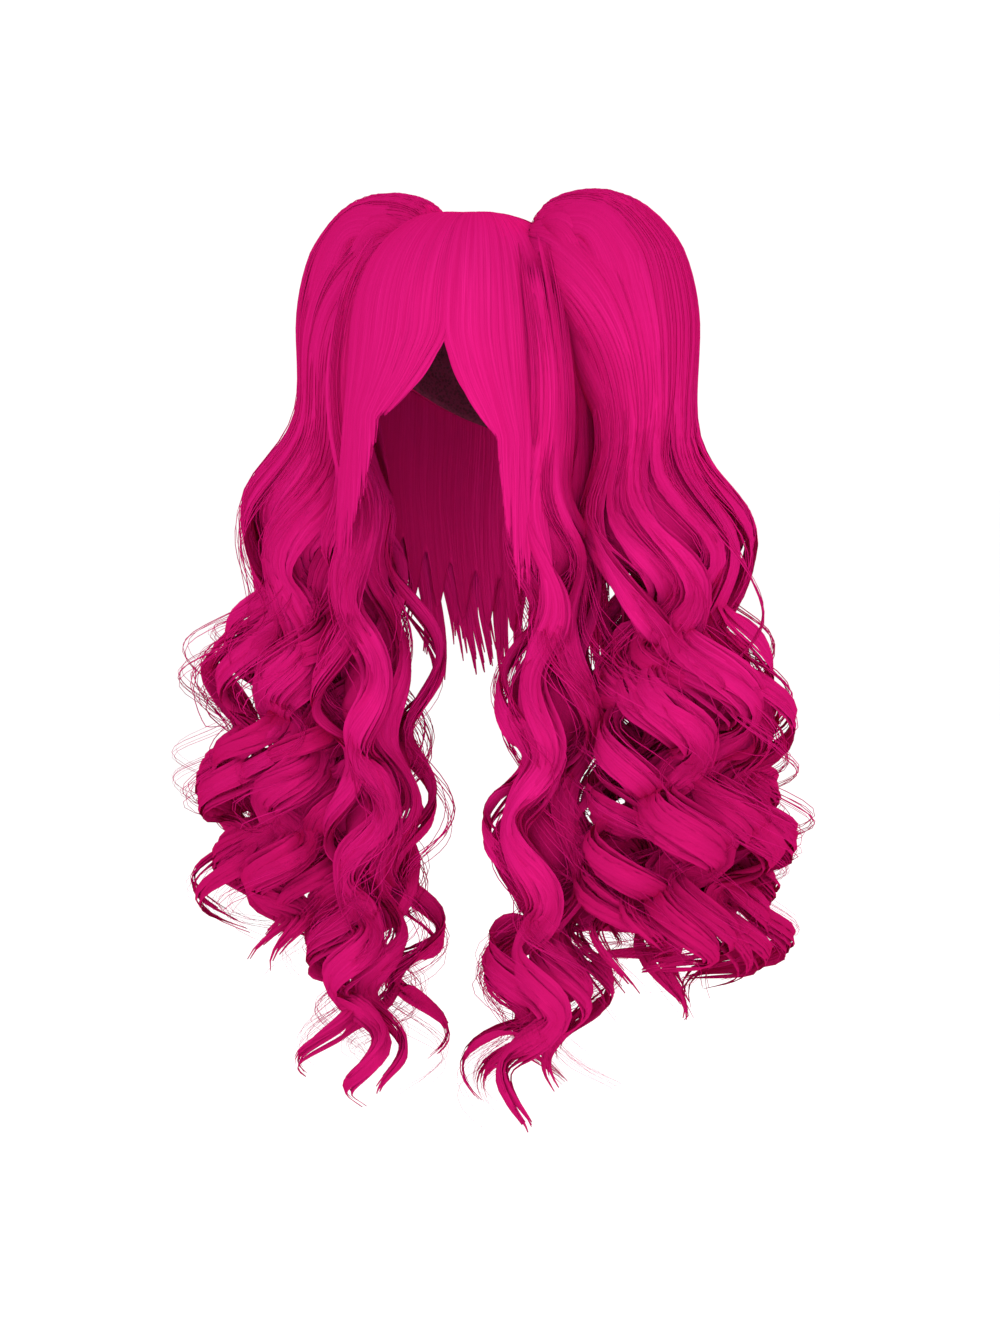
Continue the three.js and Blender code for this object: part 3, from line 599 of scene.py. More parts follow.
def clumped(rng, share, clumps, unevenness):
    """Splits places from 0 to 1 into clumps of uneven width: each place's clump, the middle of that clump,
    where the place lies in it from -1 to 1, and the clump's width against the mean."""
    edges = np.concatenate([[0], np.cumsum(rng.uniform(1 - unevenness, 1 + unevenness, clumps))])
    edges /= edges[-1]
    clump = np.clip(np.searchsorted(edges, share, side="right") - 1, 0, clumps - 1)
    middle = (edges[clump] + edges[clump + 1]) / 2
    breadth = edges[clump + 1] - edges[clump]
    return clump, middle, (share - middle) / breadth * 2, breadth * clumps


# How a sheaf's tresses run: the power that brings their steps closer towards the tips, where the curls are
# tight, how deep they sink into the smooth part and how far they sway there, and the share after which a tip
# hooks and over which it does
CLOSER_STEPS = 0.78
SUNK_DEPTH = 0.001
SMOOTH_SWAY = 0.03
HOOK_FROM, HOOK_OVER = 0.72, 0.28

# How a ribbon roams about its curls: how often along the line on each axis, and how much faster its phase on
# the second axis changes from one ribbon to the next
ROAM_TURNS = (2.3, 2.9)
ROAM_PHASE = 2.6

# How a ribbon narrows to its tip, and how far its edges bend back and turn away, as shares of its width
CLOSING_SHARE, CLOSING_POWER = 0.25, 0.8
EDGE_BEND = 0.35
EDGE_TURN = 0.8

# How far over the hair on the crown tresses and cores stay, in metres
TRESS_CLEARANCE = 0.0007
CORE_CLEARANCE = 0.0004

# How tresses drape from the gather: how far round the arch they do, where they root along the line and how
# closely round it, and how far their path is pushed out and up at its root and out at its end, in metres
DRAPE_BREADTH = 0.9
DRAPE_ROOT, DRAPE_ROOT_SWING, DRAPE_FAN = 0.03, 0.02, 0.4
DRAPE_PUSH, DRAPE_LIFT, DRAPE_END_PUSH = 0.05, 0.004, 0.006

# A core's ends, as how steeply it opens and closes, its least size and the power that rounds them, then its
# thickness, its ribs and its painted shade, each as its value at the gather and what the curls add to that
CORE_OPENING, CORE_CLOSING, CORE_POINT, CORE_ROUNDING = 8, 3, 0.0004, 0.7
CORE_SKIN = (0.62, -0.47)
CORE_RIBS = (0.08, 0.12)
CORE_SHADE = (0.3, 0.35)


def sheaf_tresses(sizes, rng, line, lag_turn, curl_radius, spec):
    """The paths of a sheaf's tresses, and the way that each faces. In the smooth part they fan out of the
    gather and lie side by side round the sheaf. Along the curls they join into ribbons: a ribbon's middle is
    a point of the sheaf with its own lag, pace, distance and radius, its width runs along the path's
    direction crossed with the way it faces, and each tress keeps near its place across the width, with the
    ribbon's edges bent back. Also gives the steps along a tress and the share of the curls at each."""
    count, clumps, steps = spec["count"], spec["clumps"], spec["steps"]
    v = np.linspace(0, 1, steps)[None] ** CLOSER_STEPS
    first, last = spec["places"]
    share = (np.arange(count) + rng.uniform(-0.35, 0.35, count)) / count
    clump, middle, place, breadth = clumped(rng, share, clumps, UNEVEN_CLUMPS)
    alternate = np.where(np.arange(clumps) % 2, 1, -1)
    own = {
        "lag": spec["own_lag"] * alternate + rng.normal(0, 0.5 * spec["own_lag"], clumps),
        "pace": rng.normal(0, spec["own_pace"], clumps),
        "spread": rng.uniform(*spec["own_spread"], clumps) - spec["own_depth"] * (alternate > 0),
        "radius": rng.uniform(*spec["own_radius"], clumps),
        "end": rng.uniform(*spec["own_end"], clumps),
        "width": rng.uniform(*spec["own_width"], clumps),
        "handed": rng.uniform(0.5, 1.1, clumps),
        "roam": rng.uniform(0, TURN, clumps),
    }
    own = {key: value[clump][:, None] for key, value in own.items()}
    own["width"] = own["width"] * np.sqrt(breadth)[:, None]
    middle_turn = first + (last - first) * middle
    outer = 0.5 + 0.5 * np.cos(TURN * middle_turn)[:, None]
    end = (own["end"] - spec["outer_rise"] * outer) * rng.uniform(*spec["uneven_end"], (count, 1))
    start = rng.uniform(*spec["start"], (count, 1))
    t = start + (end - start) * v
    at = line.at(t)
    gather = smooth_step((t - spec["curls_from"]) / spec["curls_over"])
    around = first + (last - first) * share
    around = TURN * np.where(around > 0.5, around - 1, around)[:, None]
    fan = spec["fan"] + (1 - spec["fan"]) * smooth_step(t / spec["fan_over"])
    around = around * fan + wander(rng, count, v, SMOOTH_SWAY)
    skin = sizes.lock_half_thickness * at["lock"] * spec["skin"]
    smooth_skin = skin - SUNK_DEPTH * rng.uniform(0, 1, (count, 1)) * spec["sunk"]
    even_lag = SHEAF_LAG * (np.sin(around + lag_turn * TURN) - math.sin(lag_turn * TURN))
    smooth = sheaf_point(sizes, at, around, even_lag, 1.0, smooth_skin, curl_radius)

    centre_around = TURN * middle_turn[:, None] + np.zeros_like(t)
    lag = SHEAF_LAG * (np.sin(centre_around + lag_turn * TURN) - math.sin(lag_turn * TURN))
    hook = smooth_step((v - HOOK_FROM) / HOOK_OVER)
    stray_lag = rng.normal(0, spec["stray_lag"], (count, 1))
    lag = lag + gather * (own["lag"] + own["pace"] * at["turn"]) + stray_lag
    lag = lag + spec["hook_turn"] * hook
    spread = own["spread"] + spec["flare"] * rng.uniform(0, 1, (count, 1)) * v**2
    radius = curl_radius * own["radius"] * rng.uniform(1 - spec["stray"], 1 + spec["stray"], (count, 1))
    radius = radius * (1 + spec["hook"] * hook)
    centre = sheaf_point(sizes, at, centre_around, lag, spread, skin, radius, 1.0, own["handed"])
    roam = spec["roam"] * gather[..., None]
    centre = centre + roam * at["bend"] * np.sin(own["roam"] + ROAM_TURNS[0] * TURN * t)[..., None]
    across_roam = np.sin(ROAM_PHASE * own["roam"] + ROAM_TURNS[1] * TURN * t)
    centre = centre + roam * at["across"] * across_roam[..., None]
    turn = TURN * (at["turn"] + lag)
    radial = at["bend"] * np.cos(centre_around)[..., None] + at["across"] * np.sin(centre_around)[..., None]
    curl_out = at["bend"] * np.cos(turn)[..., None] + at["across"] * (own["handed"] * np.sin(turn))[..., None]
    facing = unit(radial + curl_out * (spec["face_curl"] * at["curl"])[..., None])
    heading = unit(np.gradient(centre, axis=1))
    width = unit(np.cross(heading, facing))
    facing = np.cross(width, heading)
    place = place[:, None] + wander(rng, count, v, spec["sway"], 4.0)
    closing = spec["open_tip"] + (1 - spec["open_tip"]) * taper(v, 0, CLOSING_SHARE, CLOSING_POWER)
    aside = place * own["width"] * closing
    proud = -EDGE_BEND * own["width"] * place**2 * closing + rng.uniform(*spec["layers"], (count, 1))
    ribbon = centre + width * aside[..., None] + facing * proud[..., None]
    ribbon_facing = facing - width * (EDGE_TURN * place * closing)[..., None]

    smooth_facing = at["bend"] * np.cos(around)[..., None] + at["across"] * np.sin(around)[..., None]
    if spec["drape"]:
        draped, draped_facing = drape(sizes, line, t, around, smooth, curl_radius, spec["drape"])
        share_draped = smooth_step((DRAPE_BREADTH - np.cos(around[:, -1:])) / DRAPE_BREADTH)
        share_draped = share_draped * (t < spec["drape"])
        smooth = smooth + (draped - smooth) * share_draped[..., None]
        smooth_facing = smooth_facing + (draped_facing - smooth_facing) * share_draped[..., None]
    path = smooth + (ribbon - smooth) * gather[..., None]
    outward = smooth_facing + (ribbon_facing - smooth_facing) * gather[..., None]
    return clear_of_head(sizes, path, sizes.crown_outside + TRESS_CLEARANCE), outward, v, gather


def drape(sizes, line, t, around, smooth, curl_radius, until):
    """Paths that leave the gather near its top and fall straight to the sheaf's surface at the share until,
    each a cubic from its root to its place on the smooth path there, in that path's direction, pushed
    forwards or backwards out of the arch, and the way that they face."""
    rows = np.arange(len(t))
    reached = np.argmax(t >= until, axis=1)
    end = smooth[rows, reached]
    heading = (smooth[rows, reached + 1] - end) * reached[:, None] / 3
    frontness = np.sin(around[:, -1])[:, None] * np.array([0.0, 1.0, 0.0])
    sideways = np.cos(around[:, -1])[:, None] * np.array([line.side, 0.0, 0.0])
    at = line.at(DRAPE_ROOT + DRAPE_ROOT_SWING * np.cos(around[:, -1]))
    skin = sizes.lock_half_thickness * at["lock"]
    root = sheaf_point(sizes, at, around[:, -1] * DRAPE_FAN, 0.0, 1.0, skin, curl_radius)
    pushed = root + frontness * DRAPE_PUSH + np.array([0.0, 0.0, DRAPE_LIFT])
    controls = (root, pushed, end - heading + frontness * DRAPE_END_PUSH, end)
    w = np.clip(np.arange(t.shape[1])[None] / reached[:, None], 0, 1)[..., None]
    weights = ((1 - w) ** 3, 3 * w * (1 - w) ** 2, 3 * w * w * (1 - w), w**3)
    path = sum(weight * control[:, None] for weight, control in zip(weights, controls))
    facing = (frontness + sideways)[:, None] * (0.3 + 0.7 * w) + np.array([0.0, 0.0, 1.0]) * (1 - w) ** 2
    return path, facing


def sheaf_core(sizes, line, lag_turn, curl_radius, spec):
    """The inside of a sheaf, and its painted shade: the sheaf's own surface drawn in, with a rib for every
    four points round it, and closed to a point at both ends."""
    steps, sides = spec["core_steps"], spec["core_sides"]
    v = np.linspace(0, 1, steps)[:, None]
    around = (np.arange(sides) / sides * TURN)[None]
    t = np.broadcast_to(spec["core_start"] + v * (spec["core_end"] - spec["core_start"]), (steps, sides))
    at = line.at(t)
    gather = smooth_step((t - spec["curls_from"]) / spec["curls_over"])
    lag = SHEAF_LAG * (np.sin(around + lag_turn * TURN) - math.sin(lag_turn * TURN))
    size = np.minimum(np.minimum(1, v * CORE_OPENING), (1 - v) * CORE_CLOSING)
    size = np.maximum(size, CORE_POINT) ** CORE_ROUNDING
    rib = 0.5 + 0.5 * np.cos(around * sides / 4)
    ribs = (CORE_RIBS[0] + CORE_RIBS[1] * gather) * rib
    skin = sizes.lock_half_thickness * at["lock"] * (CORE_SKIN[0] + CORE_SKIN[1] * gather + ribs)
    spread = 1 - gather * (1 - spec["core_spread"])
    points = sheaf_point(sizes, at, np.broadcast_to(around, t.shape), lag, spread, skin, curl_radius, size)
    # Painted shade of the sheaf's inside, deeper where the curls are
    shade = CORE_SHADE[0] + CORE_SHADE[1] * gather
    return clear_of_head(sizes, points, sizes.crown_outside + CORE_CLEARANCE), shade


# How the sheaves are combed. Along the line, as shares of it: start and own_end (where a tress begins and its
# ribbon ends), uneven_end, outer_rise (how much sooner those on the outside end), curls_from and curls_over,
# fan_over and drape. Along a tress, as shares of it: root and tip, over which it narrows. Round the gather:
# places (in turns), fan, sunk and skin. Each ribbon's own: lag and pace (in turns), spread, depth, radius and
# width (in metres), roam (in metres), hook, hook_turn, open_tip and face_curl. Each tress's own: stray,
# stray_lag, sway, layers (in metres) and flare. Then the painted shade at the top and at the ends, and the
# core
PIGTAIL_TRESSES = {
    "count": 216,
    "clumps": 15,
    "places": (0.0, 1.0),
    "steps": 84,
    "start": (0.0, 0.01),
    "root": 0.06,
    "tip": 0.12,
    "core_start": 0.0,
    "fan": 0.6,
    "fan_over": 0.3,
    "drape": 0.33,
    "roam": 0.007,
    "own_lag": 0.14,
    "own_pace": 0.04,
    "own_spread": (0.78, 1.0),
    "own_depth": 0.26,
    "own_radius": (0.65, 1.15),
    "own_end": (0.9, 1.0),
    "open_tip": 0.2,
    "hook": 0.25,
    "hook_turn": 0.3,
    "own_width": (0.011, 0.018),
    "outer_rise": 0.08,
    "uneven_end": (0.94, 1.0),
    "curls_from": 0.33,
    "curls_over": 0.2,
    "stray": 0.1,
    "stray_lag": 0.012,
    "sway": 0.45,
    "layers": (-0.0015, 0.0015),
    "flare": 0.0,
    "skin": 0.85,
    "sunk": 1.0,
    "face_curl": 0.8,
    "top_shade": 0.35,
    "end_shade": 0.9,
    "core_steps": 150,
    "core_sides": 48,
    "core_end": 0.84,
    "core_spread": 0.42,
}

SIDE_TRESSES = {
    **PIGTAIL_TRESSES,
    "count": 86,
    "clumps": 6,
    "top_shade": 0.0,
    "end_shade": 0.6,
    "fan": 1.0,
    "drape": 0.0,
    "roam": 0.006,
    "start": (0.02, 0.15),
    "root": 0.16,
    "core_start": 0.11,
    "own_spread": (0.7, 0.95),
    "own_depth": 0.25,
    "own_end": (0.92, 1.0),
    "hook": 0.35,
    "hook_turn": 0.4,
    "own_width": (0.009, 0.014),
    "outer_rise": 0.03,
    "curls_from": 0.22,
    "core_steps": 130,
    "core_sides": 32,
    "core_spread": 0.2,
}

FALLING_TRESSES = {
    **PIGTAIL_TRESSES,
    "count": 48,
    "clumps": 4,
    "places": (0.3, 0.84),
    "fan": 1.0,
    "drape": 0.0,
    "steps": 56,
    "start": (0.0, 0.02),
    "own_end": (0.62, 0.75),
    "outer_rise": 0.0,
}

WISPS = {
    "count": 66,
    "clumps": 11,
    "steps": 72,
    "own_spread": (0.95, 1.16),
    "own_depth": 0.0,
    "own_radius": (0.9, 1.3),
    "own_end": (0.62, 0.98),
    "own_width": (0.0015, 0.004),
    "own_lag": 0.25,
    "stray": 0.05,
    "stray_lag": 0.01,
}

LOOSE_STRANDS = {
    "steps": 72,
    "own_end": (0.94, 1.01),
    "stray": 0.22,
    "stray_lag": 0.035,
    "sway": 0.8,
    "layers": (0.0, 0.003),
    "flare": 0.1,
    "skin": 0.95,
    "sunk": 0.0,
}


def comb_tresses(context, name, node, rng, line, lag_turn, curl_radius, spec):
    """Makes the tresses of one sheaf and lets them stand for its node."""
    sizes, colours = context.scene.wig_sizes, context.scene.wig_colours
    path, outward, v, gather = sheaf_tresses(sizes, rng, line, lag_turn, curl_radius, spec)
    shape = path.shape[:2]
    size = rng.uniform(*OWN_SIZES, (shape[0], 1)) * taper(v, spec["root"], spec["tip"])
    half_width = sizes.tress_half_width * size * (1 - 0.15 * gather)
    half_thickness = sizes.tress_half_thickness * size * (1 + 0.5 * gather)
    # Painted shade: darker at the top of the sheaf and more so towards the ends, low on the locks, added to
    # each tress's own darker tone
    top_shade = spec["top_shade"] * (1 - smooth_step((v - 0.15) / 0.25))
    end_shade = spec["end_shade"] * smooth_step((v - 0.55) / 0.4)
    shade = rng.uniform(0, OWN_SHADE, (shape[0], 1)) + (top_shade + end_shade) * np.ones(shape)
    piece = tress_mesh(name, rng, path, outward, half_width, half_thickness, shade)
    finish_piece(piece, hair_material(colours))
    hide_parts(node)


def comb_strands(context, name, node, rng, line, lag_turn, curl_radius, spec):
    """Makes the loose strands of one sheaf, which follow its ribbons less closely than the tresses do."""
    sizes, colours = context.scene.wig_sizes, context.scene.wig_colours
    path, outward, v, _ = sheaf_tresses(sizes, rng, line, lag_turn, curl_radius, spec)
    radius = sizes.strand_radius * taper(v, 0.02, 0.3) * rng.uniform(0.7, 1.4, (path.shape[0], 1))
    piece = tress_mesh(name, rng, path, outward, radius, radius, np.zeros(path.shape[:2]), THREAD)
    finish_piece(piece, hair_material(colours))
    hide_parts(node)


def comb_sheaf(context, node, line, lag_turn, curl_radius, spec, strands, seed):
    """Makes the core, the tresses and the loose strands of one sheaf, and lets them stand for its node."""
    sizes, colours = context.scene.wig_sizes, context.scene.wig_colours
    rng = np.random.default_rng(seed)
    core = closed_mesh(node + "_core", *sheaf_core(sizes, line, lag_turn, curl_radius, spec))
    finish_piece(core, hair_material(colours))
    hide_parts(node)
    comb_tresses(context, node + "_tresses", node, rng, line, lag_turn, curl_radius, spec)
    rng = np.random.default_rng(seed)
    comb_strands(context, node + "_strands", node, rng, line, lag_turn, curl_radius, {**spec, **strands})


# How the tresses of the fringe and of the back are combed: tip is the share of a tress over which it narrows,
# pull is how far the tips draw together into locks, own_length is the share of a tip's unevenness that is its
# own and not its lock's, wave is how far a lock's end swings to its sides as a share of the panel, and
# uneven_start is how much farther down the head the last tresses start, in radians
FRINGE_COMB = {
    "steps": 40,
    "half_width": 0.0034,
    "tip": 0.3,
    "pull": 0.35,
    "own_length": 0.6,
    "wave": 0.0,
    "uneven_start": 0.0,
}
BACK_COMB = {
    "steps": 38,
    "half_width": 0.0037,
    "tip": 0.25,
    "pull": 0.55,
    "own_length": 0.35,
    "wave": 0.016,
    "uneven_start": 0.2,
}

# How a panel hangs: the share after which its locks gather and over which they do, how often a lock's end
# swings along its length and from one side of the panel to the other, and how far each tress sways
HANGING_FROM, HANGING_OVER = 0.55, 0.45
SWINGS_ALONG, SWINGS_ACROSS = 1.6, 3
COMBED_SWAY = 0.012

# A panel's tresses: the share over which their roots narrow, their thickness against their width, the least
# that crowding leaves of both, and the painted shade at their roots with the share over which it fades
PANEL_ROOT = 0.06
FLATNESS = 0.16
THINNEST, NARROWEST = 0.35, 0.12
ROOT_SHADE, ROOT_FADE = 0.3, 0.3

# The sheet under a panel: how far under the tresses and over the crown's hair its outer face lies, its
# thickness (in metres) and its painted shade, darker than the tresses over it
BASE_DEPTH = 0.0008
BASE_HEIGHT = 0.0012
BASE_THICKNESS = 0.0012
BASE_SHADE = 0.45


def comb_panel(context, name, node, shape, seed, count, locks, comb):
    """Tresses of a combed panel. Each keeps its place, with a slow sway, and its level between the panel's
    faces, and the tips draw together into small locks."""
    bearings, start, leave, drop, flare, levels = shape
    sizes, colours = context.scene.wig_sizes, context.scene.wig_colours
    rng = np.random.default_rng(seed)
    v = np.linspace(0, 1, comb["steps"])[None]
    share = np.clip((np.arange(count) + rng.uniform(-0.4, 0.4, count)) / (count - 1), 0, 1)[:, None]
    clump, middle, _, _ = clumped(rng, share[:, 0], locks, UNEVEN_CLUMPS)
    own, shared = rng.uniform(0, 1, (count, 1)), rng.uniform(0, 1, (locks, 1))[clump]
    falls = drop(share, shared + (own - shared) * comb["own_length"])
    hanging = smooth_step((v - HANGING_FROM) / HANGING_OVER)
    gathered = share + (middle[:, None] - share) * comb["pull"] * hanging
    swing = np.sin(TURN * (SWINGS_ALONG * v + SWINGS_ACROSS * middle[:, None]))
    gathered = gathered + comb["wave"] * hanging * swing
    bearing = bearings(gathered, v, falls) + wander(rng, count, v, COMBED_SWAY)
    level = levels(share, v, rng.uniform(0, 1, (count, 1)))
    start = start + rng.uniform(0, 1, (count, 1)) * comb["uneven_start"]
    path = falling_point(sizes, bearing, start, leave, falls, flare, level, v * np.ones_like(share))
    widest = head_point(sizes, bearing, math.pi / 2, 0.0)
    upwards = np.array([0.0, 0.0, 1.0]) * (1 - v[..., None]) ** 2
    outward = unit(widest * np.array([1.0, 1.0, 0.0])) + upwards
    crowding = np.clip(np.hypot(path[..., 0], path[..., 1]) / sizes.head_half_width, NARROWEST, 1)
    size = rng.uniform(*PANEL_SIZES, (count, 1)) * taper(v, PANEL_ROOT, comb["tip"])
    width = comb["half_width"] * size * crowding
    thickness = FLATNESS * comb["half_width"] * size * np.maximum(crowding, THINNEST)
    # Painted shade at the roots, fading down the tress
    root_shade = ROOT_SHADE * (1 - smooth_step(v / ROOT_FADE))
    shade = rng.uniform(0, OWN_SHADE, (count, 1)) + root_shade * np.ones(path.shape[:2])
    piece = tress_mesh(name, rng, path, outward, width, thickness, shade)
    finish_piece(piece, hair_material(colours))
    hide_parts(node)


def panel_edge(share):
    """How full a panel is across its width: the sine of half a turn, raised to a power that keeps it flat."""
    return np.sin(math.pi * np.clip(share, 0.04, 0.96)) ** 0.35


def panel_base(context, name, node, shape, columns, rows, short, scallops):
    """The closed sheet under a panel's tresses: its outer face, and its inner face close under it, as one
    ring of points across the panel for each row down it. It ends short of the tresses, in scallops."""
    bearings, start, leave, drop, flare, levels = shape
    sizes, colours = context.scene.wig_sizes, context.scene.wig_colours
    v = np.linspace(0, 1, rows)[:, None]
    share = np.linspace(0.02, 0.98, columns)[None]
    falls = drop(share, np.full_like(share, 0.3)) - short * (0.65 + 0.35 * np.sin(scallops * TURN * share))
    bearing = bearings(share, v, falls)
    deepest = levels(share, v, np.zeros_like(share))
    outside = np.minimum(deepest - BASE_DEPTH, sizes.layer_inside + BASE_HEIGHT)
    faces = [
        falling_point(sizes, bearing, start, leave, falls, flare, outside - depth, v * np.ones_like(share))
        for depth in (0.0, BASE_THICKNESS)
    ]
    rings = np.concatenate([faces[0], faces[1][:, ::-1]], axis=1)
    # The sheet is darker than the tresses over it: painted shade
    piece = closed_mesh(name, rings, BASE_SHADE, flat=True)
    finish_piece(piece, hair_material(colours))
    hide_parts(node)


# The rings of the cap begin this far down from the crown, as a share of the way to the rim
FIRST_RING = 0.004

# The cap's rows of wefts and the band at its rim: their number, how sharply each weft rises, their heights
# inwards in metres, where the band begins and over what share it rises, and where the wefts are at their full
# height
WEFTS = 15
WEFT_SHARPNESS = 6
WEFT_HEIGHT = 0.0012
BAND_HEIGHT = 0.0011
BAND_FROM, BAND_OVER = 0.93, 0.03
WEFTS_FULL = 0.1

# The sheet under the crown's tresses: how deep it lies under their outer face, its gap over the cap, and its
# painted shade, darker than the tresses over it
CROWN_BASE_DEPTH = 0.0018
CROWN_BASE_GAP = 0.0003
CROWN_BASE_SHADE = 0.55

# The crown's tresses: how far the whorl turns them and how fast that fades, where they begin, how deep they
# lie at least and how much deeper at most, and their half width and half thickness at the widest level
WHORL_TURN, WHORL_FADE = 0.9, 9
WHORL_START = 0.02
CROWN_DEPTH, CROWN_DEPTH_SPREAD = 0.001, 0.0008
CROWN_HALF_WIDTH, CROWN_HALF_THICKNESS = 0.0042, 0.0006


def cap_grid(sizes, rows, columns=72):
    """The grid of the cap's rings: the shares of the way down to the rim, the bearings and the slopes."""
    down = np.linspace(FIRST_RING, 1, rows)[:, None]
    bearing = (np.arange(columns) / columns * TURN)[None]
    return down, bearing, down * rim_slope(sizes, bearing)


class WIG_OT_cap(bpy.types.Operator):
    """Make the cap's lining: an elastic net with rows of sewn wefts and a banded rim"""

    bl_idname = "wig.make_cap"
    bl_label = "Cap"

    def execute(self, context):
        sizes, colours = context.scene.wig_sizes, context.scene.wig_colours
        down, bearing, slope = cap_grid(sizes, 64)
        weft = np.maximum(0, np.cos(down * WEFTS * TURN)) ** WEFT_SHARPNESS * WEFT_HEIGHT
        band = smooth_step((down - BAND_FROM) / BAND_OVER) * BAND_HEIGHT
        relief = np.maximum(weft, band) * smooth_step(down / WEFTS_FULL)
        inside = head_point(sizes, bearing, slope, -relief)
        outside = head_point(sizes, bearing, slope, sizes.cap_wall * np.ones_like(slope))
        points = np.concatenate([outside, inside[::-1]])
        piece = closed_mesh("cap_lining", points, 0.0)
        finish_piece(piece, cap_material(colours))
        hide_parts("cap")
        return {"FINISHED"}


class WIG_OT_crown(bpy.types.Operator):
    """Comb the hair over the crown, out of its whorl and down to the cap's rim"""

    bl_idname = "wig.comb_crown"
    bl_label = "Crown"

    def execute(self, context):
        sizes, colours = context.scene.wig_sizes, context.scene.wig_colours
        _, bearing, slope = cap_grid(sizes, 36)
        outside = head_point(sizes, bearing, slope, sizes.crown_outside - CROWN_BASE_DEPTH)
        inside = head_point(sizes, bearing, slope, sizes.cap_wall + CROWN_BASE_GAP)
        # The sheet under the crown's tresses, darker with painted shade
        shell = closed_mesh("crown_base", np.concatenate([outside, inside[::-1]]), CROWN_BASE_SHADE)
        finish_piece(shell, hair_material(colours))
        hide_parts("crown_hair")

        rng = np.random.default_rng(sizes.seed)
        count, steps = 150, 34
        v = np.linspace(0, 1, steps)[None]
        share = ((np.arange(count) + rng.uniform(-0.4, 0.4, count)) / count)[:, None]
        whorl = WHORL_TURN * np.exp(-v * WHORL_FADE)
        bearing = TURN * share + whorl + wander(rng, count, v, COMBED_SWAY)
        slope = (WHORL_START + (1 - WHORL_START) * v) * rim_slope(sizes, bearing)
        level = sizes.crown_outside - CROWN_DEPTH - CROWN_DEPTH_SPREAD * rng.uniform(0, 1, (count, 1))
        path = head_point(sizes, bearing, slope, level)
        outward = unit(path - np.array([0.0, 0.0, -sizes.dome_height]))
        crowding = np.clip(np.hypot(path[..., 0], path[..., 1]) / sizes.head_half_width, 0.06, 1.1)
        size = rng.uniform(*OWN_SIZES, (count, 1)) * taper(v, 0.02, 0.05)
        width = CROWN_HALF_WIDTH * size * crowding
        thickness = CROWN_HALF_THICKNESS * size * np.maximum(crowding, 0.3)
        shade = rng.uniform(0, OWN_SHADE, (count, 1)) * np.ones(path.shape[:2])
        piece = tress_mesh("crown_tresses", rng, path, outward, width, thickness, shade)
        finish_piece(piece, hair_material(colours))
        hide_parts("crown_hair")
        return {"FINISHED"}


# The fringe: the slopes where it starts and leaves the head, in degrees, its drop where it leaves the head as
# a share of the dome's height, the share over which its roots fill out, how deep they sink under the crown's
# outer face and the share over which they rise from there, and how uneven its tips are
FRINGE_SLOPES = (7, 84)
FRINGE_LYING_DROP = 0.93
FRINGE_FILLING = 0.3
FRINGE_SINK, FRINGE_RISE = 0.0012, 0.14
FRINGE_UNEVEN = 0.04


class WIG_OT_fringe(bpy.types.Operator):
    """Comb both halves of the fringe out of the whorl, swept away from the parting along its notch's edge"""

    bl_idname = "wig.comb_fringe"
    bl_label = "Fringe"

    def execute(self, context):
        sizes = context.scene.wig_sizes
        start, leave = (math.radians(slope) for slope in FRINGE_SLOPES)
        lying_drop = sizes.dome_height * FRINGE_LYING_DROP
        for number, (name, side) in enumerate(SIDES.items()):
            span = side * sizes.fringe_bearing - sizes.parting_bearing
            count = round(abs(math.degrees(span)) * 2)
            point_share = FRINGE_POINTS[name]

            def edge_share(drop):
                above = np.clip((drop / sizes.fringe_drop - NOTCH_TOP) / (1 - NOTCH_TOP), 0, 1)
                return above**NOTCH_ROUNDING

            def bearings(share, v, falls):
                lying = lying_drop * np.minimum(1, v / LYING_SHARE) ** 2
                hanging = (falls - lying_drop) * np.maximum(0, (v - LYING_SHARE) / (1 - LYING_SHARE))
                edge = np.minimum(edge_share(lying + hanging), point_share)
                return sizes.parting_bearing + span * (share + (1 - share) ** 2 * edge)

            def levels(share, v, random):
                edge = panel_edge(share)
                root = 0.35 + 0.65 * np.minimum(1, v / FRINGE_FILLING)
                lifted = sizes.layer_inside + (0.35 + 0.45 * random) * sizes.layer_thickness * edge * root
                rooted = sizes.crown_outside - FRINGE_SINK
                return rooted + (lifted - rooted) * smooth_step(v / FRINGE_RISE)

            def drop(share, random):
                tip = NOTCH_TOP + (1 - NOTCH_TOP) * point_share ** (1 / NOTCH_ROUNDING)
                blended = np.clip((share - 0.1) / 0.4, 0, 1) ** 0.8
                longer = FRINGE_BLEND * blended * (0.75 + 0.5 * random)
                return sizes.fringe_drop * (tip - FRINGE_UNEVEN * random + longer)

            node = "fringe_" + name
            shape = (bearings, start, leave, drop, sizes.fringe_flare, levels)
            panel_base(context, node + "_base", node, shape, 24, 36, 0.02, 0)
            seed = sizes.seed + 20 + number
            comb_panel(context, node + "_tresses", node, shape, seed, count, count // 7, FRINGE_COMB)
        return {"FINISHED"}


# The curtain: the slopes where it starts and leaves the head, in degrees, how far its tresses swing sideways
# in radians, how deep its roots sink under the crown's outer face and the share over which they rise from
# there, how much shorter it is at its ends, and its shortest tips with their unevenness
BACK_SLOPES = (62, 100)
BACK_SWING = 0.03
BACK_SINK, BACK_RISE = 0.0022, 0.35
BACK_SHORTER = 0.25
BACK_SHORTEST, BACK_UNEVEN = 0.82, 0.18


